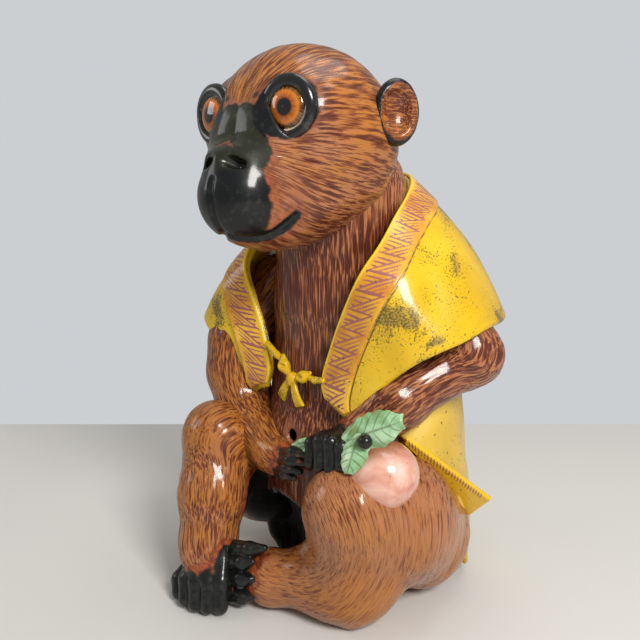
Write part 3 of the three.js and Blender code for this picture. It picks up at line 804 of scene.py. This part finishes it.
NECK_EDGE = np.array([(0, 38, 258), (17, 34, 257), (30, 22, 252), (39, 6, 243), (46, -14, 231),
                      (50, -31, 217), (47, -43, 202), (38, -45, 183), (28, -45, 160), (22, -46, 138),
                      (26, -46, 126)], float)
HEM_LEFT = np.array([(0, 99.6, 171), (50, 85, 171), (82, 52, 171), (94.6, 8, 170.5), (92, -10, 165.5),
                     (86, -22, 161), (76, -30, 154), (64, -35, 144), (53, -40, 132.5), (45, -43, 124),
                     (38, -46, 120)], float)
HEM_RIGHT = np.array([(0, 99.6, 171), (-50, 85, 171), (-82, 52, 171), (-94.6, 8, 170.5), (-96, -15, 168),
                      (-93, -36, 167), (-85, -50, 163), (-70, -54, 153), (-57, -51, 140), (-47, -48, 128),
                      (-38, -46, 120)], float)
FULLNESS = 0.07
NECK_LINE = np.concatenate([(NECK_EDGE * [-1, 1, 1])[:0:-1], NECK_EDGE])
HEM_LINE = np.concatenate([HEM_RIGHT[:0:-1], HEM_LEFT])


def smooth_path(stops, part):
    """A point on the smooth curve through the stops; part runs 0 to 1, an equal share to each span."""
    stops = np.asarray(stops, float)
    ends = np.concatenate([[2 * stops[0] - stops[1]], stops, [2 * stops[-1] - stops[-2]]])
    place = np.clip(part, 0, 1) * (len(stops) - 1)
    span = np.minimum(place.astype(int), len(stops) - 2)
    f = (place - span)[..., None]
    p0, p1, p2, p3 = (ends[span + k] for k in range(4))
    spans = ((p0, p1), (p1, p2), (p2, p3))
    gaps = [np.sqrt(np.linalg.norm(b - a, axis=-1, keepdims=True)) for a, b in spans]
    into = ((p1 - p0) / gaps[0] - (p2 - p0) / (gaps[0] + gaps[1]) + (p2 - p1) / gaps[1]) * gaps[1]
    out = ((p2 - p1) / gaps[1] - (p3 - p1) / (gaps[1] + gaps[2]) + (p3 - p2) / gaps[2]) * gaps[1]
    return ((2 * f ** 3 - 3 * f ** 2 + 1) * p1 + (f ** 3 - 2 * f ** 2 + f) * into
            + (3 * f ** 2 - 2 * f ** 3) * p2 + (f ** 3 - f ** 2) * out)


def close_ends(count, crowd=0.9):
    """Places from 0 to 1 that crowd towards both ends."""
    even = np.linspace(0, 1, count)
    return even - crowd * np.sin(2 * np.pi * even) / (2 * np.pi)


def slab(surface, rows, columns, thick, low, edge, lift=None):
    """A closed sheet whose four edges are rounded.

    surface(s, t) gives its face; it lies from low to low + thick along the face's own normal.  The half
    thickness falls to nothing at the edges as a quarter round of width edge.  Returns the points, the
    faces, s and t of every point, its distance in millimetres from each edge, and which side it is on."""
    s, t = np.meshgrid(close_ends(rows), close_ends(columns), indexing="ij")
    face = surface(s, t)
    along_s, along_t = np.gradient(face, axis=0), np.gradient(face, axis=1)
    normal = np.cross(along_s, along_t)
    normal /= np.linalg.norm(normal, axis=-1, keepdims=True) + 1e-9
    steps_s = np.linalg.norm(np.diff(face, axis=0), axis=-1)
    steps_t = np.linalg.norm(np.diff(face, axis=1), axis=-1)
    run_s = np.concatenate([np.zeros((1, columns)), np.cumsum(steps_s, 0)])
    run_t = np.concatenate([np.zeros((rows, 1)), np.cumsum(steps_t, 1)], 1)
    gaps = np.stack([run_s, run_s[-1:] - run_s, run_t, run_t[:, -1:] - run_t], -1)
    rounding = np.prod(np.sqrt(1 - (1 - np.clip(gaps / edge, 0, 1)) ** 2), axis=-1)
    raise_by = lift(s, t, gaps) if lift else 0.0
    middle = low + thick / 2
    top = face + normal * (middle + raise_by + rounding * thick / 2)[..., None]
    bottom = face + normal * (middle + raise_by - rounding * thick / 2)[..., None]
    number = np.arange(rows * columns).reshape(rows, columns)
    under = number.copy()
    inner = (rows - 2) * (columns - 2)
    under[1:-1, 1:-1] = rows * columns + np.arange(inner).reshape(rows - 2, columns - 2)
    quads = grid_faces(rows, columns)
    points = np.concatenate([top.reshape(-1, 3), bottom[1:-1, 1:-1].reshape(-1, 3)])
    faces = np.concatenate([quads, under.ravel()[quads][:, ::-1]])

    def both(values):
        """Values of the face, repeated for the side beneath it."""
        above, below = values.reshape(rows * columns, -1), values[1:-1, 1:-1].reshape(inner, -1)
        return np.concatenate([above, below]).squeeze()

    upper = np.concatenate([np.ones(rows * columns), np.zeros(inner)])
    return points, faces, both(s), both(t), both(gaps), upper


def cape_face(s, t):
    """From the neck edge to the hem, bowed outwards between them."""
    neck, hem = smooth_path(NECK_LINE, s), smooth_path(HEM_LINE, s)
    outward = (hem - [0, TRUNK_BACK, 0]) * [1, 1, 0]
    outward *= 0.8 / np.linalg.norm(outward, axis=-1, keepdims=True)
    fullness = FULLNESS * np.linalg.norm(hem - neck, axis=-1) * np.sin(np.pi * t)
    return neck + t[..., None] * (hem - neck) + fullness[..., None] * (outward + [0, 0, 0.6])


def cape_folds(s, t, gaps):
    """A soft hollow over each upper arm and shallow flutes behind."""
    flutes = 0.9 * np.sin(2 * np.pi * 5 * s + 1.0) * t ** 1.5 * np.exp(-((s - 0.5) / 0.2) ** 4)
    dimple = -2.2 * np.exp(-((s - 0.72) / 0.035) ** 2 - ((t - 0.62) / 0.22) ** 2)
    dimple += -1.6 * np.exp(-((s - 0.29) / 0.035) ** 2 - ((t - 0.6) / 0.22) ** 2)
    return np.clip(flutes + dimple, -3, 0.25) - 0.25


YELLOW_GLAZE, tree, shader = coated("yellow_glaze", (0.80, 0.55, 0.03), 0.36, 0.45, 0.13)
broad = noise_of(tree, 17, 3, 0.3)
fine = noise_of(tree, 190, 4, 0.2)
speck = noise_of(tree, 980, 4)
tone = ramp_of(tree, broad, [(0.30, (0.56, 0.32, 0.003)), (0.5, (0.70, 0.44, 0.006)),
                             (0.68, (0.78, 0.52, 0.030))])
worn = noise_of(tree, 44, 4, 0.5)
grey = range_of(tree, worn, 0.565, 0.66, 0.0, 0.72)
tone = mix_of(tree, grey, tone, (0.22, 0.155, 0.045))
# A dark line on the cape just past the collar band's edge: painted shade where the band stands proud.
groove = range_of(tree, attribute_of(tree, "dirt"), 0.25, 0.9)
tone = mix_of(tree, groove, tone, (0.10, 0.060, 0.025))
crowded = math_of(tree, "MULTIPLY_ADD", worn, 0.75, speck)
specks = range_of(tree, crowded, 0.945, 1.04, 0.0, 0.78)
tone = mix_of(tree, specks, tone, (0.085, 0.062, 0.012))
pale = attribute_of(tree, "pale")
tone = mix_of(tree, range_of(tree, pale, 0, 1, 0.0, 0.75), tone, (0.78, 0.60, 0.20))
feed(tree, tone, shader.inputs["Base Color"])
feed(tree, bump_of(tree, fine, 0.0005, 0.45), shader.inputs["Normal"])
feed(tree, range_of(tree, fine, 0.3, 0.7, 0.28, 0.42), shader.inputs["Roughness"])

points, faces, s, t, gaps, upper = slab(cape_face, 620, 110, 4.2, -4.2, 2.6, cape_folds)
BAND_WIDTH = 22.0
past_band = np.abs(gaps[:, 2] - BAND_WIDTH - 0.6)
# The painted shade beside the band's edge, on the cape's outer face only.
dirt = 0.9 * upper * np.clip(1.2 - past_band / 0.9, 0, 1)
cape = fired("cape", points, faces, dirt=dirt, pale=np.zeros(len(points)))
cape.data.materials.append(YELLOW_GLAZE)
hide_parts("cape_shell")

# ------------------------------------------------------------------------------------------------
# The collar bands: a flat strip along the neck edge of the cape on each side, laid on in a thin
# roll of clay and glazed orange, with a zigzag of hatched triangles brushed on in mauve.
# ------------------------------------------------------------------------------------------------


def brushed(across, starts, ends, widths, soft=0.3):
    """How far each point of the plane is covered by brush strokes, each thicker in its middle."""
    cover = np.zeros(len(across))
    for start, end, width in zip(starts, ends, widths):
        line = end - start
        near = np.all(np.abs(across - (start + end) / 2) < np.abs(line) / 2 + 2, axis=1)
        away = across[near] - start
        part = np.clip(away @ line / (line @ line), 0, 1)
        gap = np.linalg.norm(away - part[:, None] * line, axis=1)
        wide = width * (0.45 + 0.55 * np.sin(np.pi * np.clip(part, 0.04, 0.96)))
        cover[near] = np.maximum(cover[near], np.clip((wide / 2 - gap) / soft + 0.5, 0, 1))
    return cover


def hatching(length, low, high, period, chance):
    """Strokes of a zigzag between two lines, with each of its triangles hatched along one side."""
    starts, ends, widths = [], [], []
    count = int(length / period)
    for k in range(count):
        left, middle, right = period * k, period * (k + 0.5), period * (k + 1)
        corners = [(left, low), (middle, high), (right, low), (right + period / 2, high)]
        starts += [corners[0], corners[1]]
        ends += [corners[1], corners[2]]
        widths += [1.5, 1.5]
        for part in (0.28, 0.52, 0.76):
            foot = left + (right - left) * part
            starts.append((foot, low + 0.5))
            ends.append((foot + (middle - left) * (1 - part), low + (high - low) * (1 - part)))
            head_x = middle + (right - left) * part
            starts.append((head_x, high - 0.5))
            ends.append((head_x + (right - middle) * (1 - part), high - (high - low) * (1 - part)))
            widths += [1.15, 1.15]
    wobble = chance.normal(0, 0.28, (2, len(starts), 2))
    pressed = np.array(widths) * chance.uniform(0.7, 1.3, len(widths))
    return np.array(starts) + wobble[0], np.array(ends) + wobble[1], pressed


BAND_GLAZE, tree, shader = coated("band_glaze", (0.72, 0.42, 0.03), 0.36, 0.55, 0.15)
mottle = noise_of(tree, 60, 4, 0.3)
grain = noise_of(tree, 420, 2)
ground = ramp_of(tree, mottle, [(0.32, (0.56, 0.22, 0.018)), (0.5, (0.70, 0.35, 0.025)),
                                (0.7, (0.82, 0.50, 0.055))])
ink = range_of(tree, attribute_of(tree, "ink"), 0.2, 0.8)
painted = mix_of(tree, ink, ground, (0.32, 0.105, 0.090))
edged = mix_of(tree, range_of(tree, attribute_of(tree, "edge"), 0.3, 0.8), painted, (0.80, 0.56, 0.02))
flecks = range_of(tree, grain, 0.66, 0.72, 0.0, 0.8)
feed(tree, mix_of(tree, flecks, edged, (0.05, 0.035, 0.02)), shader.inputs["Base Color"])
feed(tree, bump_of(tree, grain, 0.0003, 0.4), shader.inputs["Normal"])

for word, start, end, seed in (("left", 0.51, 0.985, 3), ("right", 0.015, 0.49, 4)):
    def band_face(s, t):
        """The cape's face again, as far down from the neck edge as the band is wide."""
        place = start + (end - start) * s
        neck, hem = smooth_path(NECK_LINE, place), smooth_path(HEM_LINE, place)
        reach = np.linalg.norm(hem - neck, axis=-1)
        return cape_face(place, t * np.minimum(BAND_WIDTH / reach, 0.9))

    points, faces, s, t, gaps, upper = slab(band_face, 760, 70, 2.2, -0.7, 1.2)
    run = gaps[:, 0] if word == "left" else gaps[:, 1]
    across = np.stack([run, gaps[:, 2]], 1)
    starts, ends, widths = hatching(run.max(), 3.0, 19.0, 11.8, np.random.default_rng(seed))
    ink = brushed(across, starts, ends, widths) * upper
    band_piece = fired(f"{word}_band", points, faces, ink=ink, edge=np.clip(1.6 - gaps[:, 2] / 1.6, 0, 1))
    band_piece.data.materials.append(BAND_GLAZE)
    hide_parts(f"{word}_collar_band")

# ------------------------------------------------------------------------------------------------
# The bow: a pinched knot with two loops, two cut ribbon ends, and a tie running to each cape edge;
# small rolls and strips of clay pressed on, glazed with the cape.
# ------------------------------------------------------------------------------------------------


def bow_piece(name, points, faces):
    """One piece of the bow, in the glaze of the cape, without the painted shade of the band's edge."""
    piece = fired(name, points, faces, dirt=0, pale=0)
    piece.data.materials.append(YELLOW_GLAZE)
    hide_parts(name)


def knot_clay(p):
    """A pinched ball with a ridge down its front."""
    ridge = taper(p, (0, -51, 140, 0.8), (0, -51, 134, 0.8))
    return melt(ball(p, (0, -48.6, 137), (4.2, 3.6, 4.0)), ridge, 1.2)


def loop_clay(p, stops):
    """A pinched loop: a fat taper with a finger's dent in its outer face."""
    middle = (np.array(stops[-1][:3]) + np.array(stops[0][:3])) / 2
    return carve(limb(p, stops, 2), ball(p, middle + [0, -4.6, 0], (2.6, 2.6, 1.5)), 1.2)


LEFT_LOOP = [(3, -48.5, 137.5, 1.6), (9, -48.8, 139.5, 3.3), (14, -48, 142.5, 1.2)]
RIGHT_LOOP = [(-3, -48.5, 139, 1.6), (-7, -48.8, 143.5, 3.4), (-8, -48.4, 149.5, 1.3)]
LEFT_TIE = [(11, -47.5, 140, 1.5), (18, -48, 139, 2.0), (24, -47.6, 139.8, 1.8)]
RIGHT_TIE = [(-6, -47.5, 144.5, 1.5), (-14, -48, 149, 2.0), (-23, -47.5, 154.5, 1.8)]
bow_piece("bow_knot", *skin(knot_clay, (-6, -54, 131), (6, -43, 143), 0.35))
bow_piece("left_bow_loop", *skin(lambda p: loop_clay(p, LEFT_LOOP), (0, -54, 132), (18, -43, 147), 0.4))
bow_piece("right_bow_loop", *skin(lambda p: loop_clay(p, RIGHT_LOOP), (-14, -54, 134), (0, -43, 153), 0.4))
bow_piece("left_tie", *skin(lambda p: limb(p, LEFT_TIE, 1), (8, -52, 134), (28, -43, 145), 0.4))
bow_piece("right_tie", *skin(lambda p: limb(p, RIGHT_TIE, 1), (-27, -52, 140), (-3, -43, 159), 0.4))
for name, top_end, foot in (("left_bow_tail", (1.8, -49.2, 135.5), (6.4, -48.4, 121)),
                            ("right_bow_tail", (-2.2, -49.0, 135.5), (-9.8, -48.2, 123.5))):
    top_end, foot = np.array(top_end), np.array(foot)
    side_way = np.cross(foot - top_end, [0, 1.0, 0])
    side_way /= np.linalg.norm(side_way)

    def tail_face(s, t):
        """A flat ribbon that widens to a square end and bellies out a little."""
        width = 2.0 + 1.5 * s
        belly = np.stack([0 * s, -1.3 * np.sin(np.pi * s), 0 * s], -1)
        across = ((2 * t - 1) * width)[..., None] * side_way
        return top_end + s[..., None] * (foot - top_end) + across + belly

    points, faces, s, t, gaps, upper = slab(tail_face, 40, 24, 2.4, -1.2, 0.9)
    bow_piece(name, points, faces)

# ------------------------------------------------------------------------------------------------
# The robe: a second sheet under the cape, hanging down the back to just above the ground, with its
# left front edge turned out over the hip in a pointed flap.  Its yellow is paler and duller as painted
# shade, with dark worn spots; the flap wears the same yellow in a brighter tone, as lit.
# ------------------------------------------------------------------------------------------------

ROBE_TOP, ROBE_HEM = 168.0, 6.0
ROBE_RADII = [66.0, 66.3] + TRUNK_RADII[2:]   # the robe hangs straight where the trunk tucks in


def robe_face(s, t):
    """Round the back of the trunk, a sheet's thickness outside it."""
    z = ROBE_TOP + (ROBE_HEM - ROBE_TOP) * t
    left_reach = np.interp(t, [0, 0.35, 0.6, 1], [118, 122, 84, 60])
    reach = np.radians(np.where(s > 0.5, left_reach, 88 - 28 * t)) * (2 * s - 1)
    radius = np.interp(z, TRUNK_HEIGHTS, ROBE_RADII) + 4.5
    return np.stack([radius * np.sin(reach), TRUNK_BACK + TRUNK_DEPTH * radius * np.cos(reach), z], -1)


def robe_folds(s, t, gaps):
    """Shallow flutes that deepen towards the hem, and a rolled hem."""
    flutes = 0.8 * np.sin(2 * np.pi * 7 * s + 0.8 * np.sin(9 * s)) * np.clip(t * 1.6 - 0.3, 0, 1)
    roll = 0.5 * np.exp(-((gaps[..., 3] - 3) / 3) ** 2)
    return np.clip(flutes + roll, -1.2, 0.7) - 0.3


ROBE_GLAZE, tree, shader = coated("robe_glaze", (0.72, 0.52, 0.12), 0.38, 0.55, 0.16)
broad = noise_of(tree, 22, 3, 0.4)
fine = noise_of(tree, 260, 4)
tone = ramp_of(tree, broad, [(0.3, (0.56, 0.35, 0.030)), (0.5, (0.68, 0.45, 0.050)),
                             (0.7, (0.78, 0.56, 0.12))])
# The flap's brighter tone is the robe's yellow as lit; the robe's duller tone is painted shade.
lit_flap_tone = ramp_of(tree, broad, [(0.3, (0.72, 0.43, 0.004)), (0.7, (0.90, 0.60, 0.012))])
tone = mix_of(tree, attribute_of(tree, "bright"), tone, lit_flap_tone)
spots = range_of(tree, noise_of(tree, 430, 1), 0.68, 0.73, 0.0, 0.8)
tone = mix_of(tree, spots, tone, (0.045, 0.035, 0.016))
tone = mix_of(tree, range_of(tree, attribute_of(tree, "ink"), 0.2, 0.8), tone, (0.30, 0.105, 0.085))
feed(tree, tone, shader.inputs["Base Color"])
feed(tree, bump_of(tree, fine, 0.0005, 0.4), shader.inputs["Normal"])

points, faces, s, t, gaps, upper = slab(robe_face, 260, 190, 4.2, 0, 2.4, robe_folds)
robe = fired("robe", points, faces, bright=np.zeros(len(points)), ink=np.zeros(len(points)))
robe.data.materials.append(ROBE_GLAZE)
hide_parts("robe_skirt")

FLAP_UPPER = np.array([(61, -18, 109), (76, 10, 84), (85, 38, 61)], float)
FLAP_LOWER = np.array([(58, -16, 104), (66, 10, 76), (68, 40, 44)], float)


def flap_face(s, t):
    """A strip from the waist that widens to its slanting tip."""
    return (1 - t)[..., None] * smooth_path(FLAP_UPPER, s) + t[..., None] * smooth_path(FLAP_LOWER, s)


points, faces, s, t, gaps, upper = slab(flap_face, 220, 80, 3.6, -1.8, 1.8)
run = gaps[:, 0]
across = np.stack([run, gaps[:, 2]], 1)
feet_x = np.arange(3, run.max() - 14, 2.6)
starts = np.stack([feet_x, np.full(len(feet_x), 0.6)], 1)
ends = np.stack([feet_x + 2.2, np.full(len(feet_x), 4.6)], 1)
ink = brushed(across, starts, ends, np.full(len(feet_x), 0.9))
flap = fired("robe_flap", points, faces, bright=np.ones(len(points)), ink=ink)
flap.data.materials.append(ROBE_GLAZE)
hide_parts("robe_flap")

# ------------------------------------------------------------------------------------------------
# The peach: a solid ball with a shallow cleft and a small second cheek, glazed pink over cream, turning
# brown towards its top and its inner side.
# ------------------------------------------------------------------------------------------------

PEACH = np.array([65.5, -44.5, 95.0])


def peach_clay(p):
    """A ball, a smaller lobe on its inner side, and a cleft pressed between them."""
    total = melt(ball(p, PEACH, (20.5, 20.0, 19.0)), ball(p, PEACH + [-9.5, -14.5, -4.5], (9, 9, 11)), 2.5)
    return carve(total, limb(p, [(*(PEACH + [-3, -18, 15]), 1.0), (*(PEACH + [-7.0, -20.5, 3]), 1.2),
                                 (*(PEACH + [-8.0, -19, -10]), 0.8)], 1), 3.0)


PEACH_GLAZE, tree, shader = coated("peach_glaze", (0.70, 0.38, 0.29), 0.26, 0.9, 0.07)
blush = noise_of(tree, 60, 4, 0.5)
tone = ramp_of(tree, blush, [(0.33, (0.55, 0.22, 0.15)), (0.5, (0.74, 0.42, 0.33)),
                             (0.68, (0.86, 0.62, 0.54))])
brown = range_of(tree, attribute_of(tree, "ripe"), 0.15, 0.9, 0.0, 0.85)
tone = mix_of(tree, brown, tone, (0.30, 0.105, 0.045))
pits = range_of(tree, noise_of(tree, 500, 2), 0.68, 0.73, 0.0, 0.6)
feed(tree, mix_of(tree, pits, tone, (0.16, 0.07, 0.05)), shader.inputs["Base Color"])
feed(tree, bump_of(tree, blush, 0.0010, 0.5), shader.inputs["Normal"])
points, faces = skin(peach_clay, (38, -72, 68), (92, -18, 120), 0.8)
# Browner towards the top and towards the inner side.
ripe = np.clip((points[:, 2] - 95) / 14 + (60 - points[:, 0]) / 26, 0, 1)
peach = fired("peach", points, faces, ripe=ripe)
peach.data.materials.append(PEACH_GLAZE)
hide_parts("peach")

# ------------------------------------------------------------------------------------------------
# The leaves: three blades cut from a thin slab, veined with a point and bent over the fruit; pale
# green glaze that runs thin and brown over the veins.
# ------------------------------------------------------------------------------------------------

LEAF_GLAZE, tree, shader = coated("leaf_glaze", (0.24, 0.40, 0.18), 0.30, 0.7, 0.09)
wash = noise_of(tree, 95, 4, 0.4)
tone = ramp_of(tree, wash, [(0.3, (0.16, 0.23, 0.055)), (0.46, (0.22, 0.42, 0.20)),
                            (0.62, (0.40, 0.62, 0.38)), (0.75, (0.58, 0.72, 0.45))])
vein = range_of(tree, attribute_of(tree, "vein"), 0.15, 0.85, 0.0, 0.55)
feed(tree, mix_of(tree, vein, tone, (0.075, 0.070, 0.020)), shader.inputs["Base Color"])
feed(tree, bump_of(tree, wash, 0.0008, 0.4), shader.inputs["Normal"])


def make_leaf(name, start, end, half_width, side_way, droop, teeth, node):
    """A blade whose edges are toothed, with a keel along its middle and veins out to its teeth."""
    start, end, side_way = (np.array(v, float) for v in (start, end, side_way))
    side_way /= np.linalg.norm(side_way)
    up_way = np.cross(end - start, side_way)
    up_way /= np.linalg.norm(up_way)
    length = np.linalg.norm(end - start)

    def outline(s, t):
        """Half the blade's width, toothed towards its edges."""
        wide = half_width * (0.25 + 0.75 * np.sin(np.pi * np.clip(s * 1.02, 0.03, 0.97)) ** 0.8)
        tooth = 1 - 0.10 * np.abs(2 * t - 1) ** 3 * (0.5 + 0.5 * np.sin(2 * np.pi * teeth * s))
        return wide * tooth

    def face(s, t):
        """The blade, drooping to both sides and puckered between its veins."""
        offset = 2 * t - 1
        pucker = np.cos(6 * np.pi * (s - 0.4 * np.abs(offset)) * teeth / 8)
        keel = -droop * offset ** 2 + 0.5 * pucker * np.abs(offset)
        return (start + s[..., None] * (end - start) + (outline(s, t) * offset)[..., None] * side_way
                + keel[..., None] * up_way)

    points, faces, s, t, gaps, upper = slab(face, 130, 80, 2.6, -1.3, 1.3)
    offset = (2 * t - 1) * half_width
    plane = np.stack([s * length, offset], 1)
    roots = np.linspace(0.1, 0.8, teeth)
    starts = [np.array([0, 0])] + [np.array([r * length, 0]) for r in roots for _ in SIDES]
    ends = [np.array([length, 0])] + [np.array([(r + 0.16) * length, way * half_width * 0.9])
                                      for r in roots for way in SIDES]
    vein = brushed(plane, starts, ends, [1.3] + [0.8] * (len(starts) - 1), 0.5)
    blade = fired(name, points, faces, vein=vein)
    blade.data.materials.append(LEAF_GLAZE)
    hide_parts(node)


make_leaf("upper_leaf", (50, -60, 113), (80, -46, 128), 10.5, (-0.3, 0.1, 1), 3, 6, "upper_leaf")
make_leaf("lower_leaf", (61, -58, 120), (61, -67, 100), 8, (1, 0.25, 0.1), 2, 5, "lower_leaf")
make_leaf("outer_leaf", (33, -59, 107), (13, -61, 101), 5.5, (0.2, 0.1, 1), 2, 5, "outer_leaf")

# ------------------------------------------------------------------------------------------------
# The room: a pale table top, a pale wall behind it, and soft daylight from the right and above.
# ------------------------------------------------------------------------------------------------

scene = bpy.context.scene
scene.view_settings.view_transform = "Standard"
CAMERA_AT = np.array([0.2924, -0.3248, 0.2400]) + MIDDLE
AIM = np.array([-0.013, -0.012, 0.166]) + MIDDLE

camera = bpy.data.objects.new("camera", bpy.data.cameras.new("camera"))
camera.data.lens, camera.data.sensor_width = 39.375, 36.0
camera.location = CAMERA_AT
view_way = AIM - CAMERA_AT
yaw = math.atan2(-view_way[0], view_way[1])
pitch = math.atan2(view_way[2], math.hypot(view_way[0], view_way[1]))
camera.rotation_euler = (math.pi / 2 + pitch, 0, yaw)
bpy.context.collection.objects.link(camera)
scene.camera = camera

table_mesh = bpy.data.meshes.new("table_top")
far, near, wide = 0.30, -1.6, 1.6
ahead = np.array([-math.sin(yaw), math.cos(yaw)])
beside = np.array([math.cos(yaw), math.sin(yaw)])
corners = [ahead * a + beside * b for a, b in ((near, -wide), (near, wide), (far, wide), (far, -wide))]
table_mesh.from_pydata([(c[0] + MIDDLE[0], c[1] + MIDDLE[1], -0.0004) for c in corners], [], [(0, 1, 2, 3)])
table = bpy.data.objects.new("table_top", table_mesh)
bpy.context.collection.objects.link(table)
TABLE_PAINT, tree, shader = coated("table_paint", (0.66, 0.655, 0.635), 0.55, 0.0)
table_mesh.materials.append(TABLE_PAINT)

world = bpy.data.worlds.new("room")
scene.world = world
world.use_nodes = True
make, link = world.node_tree.nodes.new, world.node_tree.links.new
wall, glow, choice = make("ShaderNodeBackground"), make("ShaderNodeBackground"), make("ShaderNodeMixShader")
wall.inputs["Color"].default_value = (0.60, 0.62, 0.645, 1)
glow.inputs["Color"].default_value = (0.37, 0.36, 0.345, 1)
link(make("ShaderNodeLightPath").outputs["Is Camera Ray"], choice.inputs["Fac"])
link(glow.outputs["Background"], choice.inputs[1])
link(wall.outputs["Background"], choice.inputs[2])
link(choice.outputs["Shader"], world.node_tree.nodes["World Output"].inputs["Surface"])


def panel(name, place, size, power, colour=(1, 1, 1)):
    """A soft square light that faces the figure."""
    lamp = bpy.data.lights.new(name, "AREA")
    lamp.shape, lamp.size, lamp.energy, lamp.color = "SQUARE", size, power, colour
    holder = bpy.data.objects.new(name, lamp)
    holder.location = np.array(place) + MIDDLE
    toward = np.array([0, 0, 0.17]) - np.array(place)
    holder.rotation_euler = (math.pi / 2 + math.atan2(toward[2], math.hypot(toward[0], toward[1])), 0,
                             math.atan2(-toward[0], toward[1]))
    bpy.context.collection.objects.link(holder)


panel("window", (0.95, -0.35, 0.85), 0.36, 14.5, (1, 0.98, 0.95))
panel("side", (-0.8, -0.7, 0.6), 0.4, 1.5)
panel("top", (0.1, 0.2, 1.2), 0.6, 3.0)
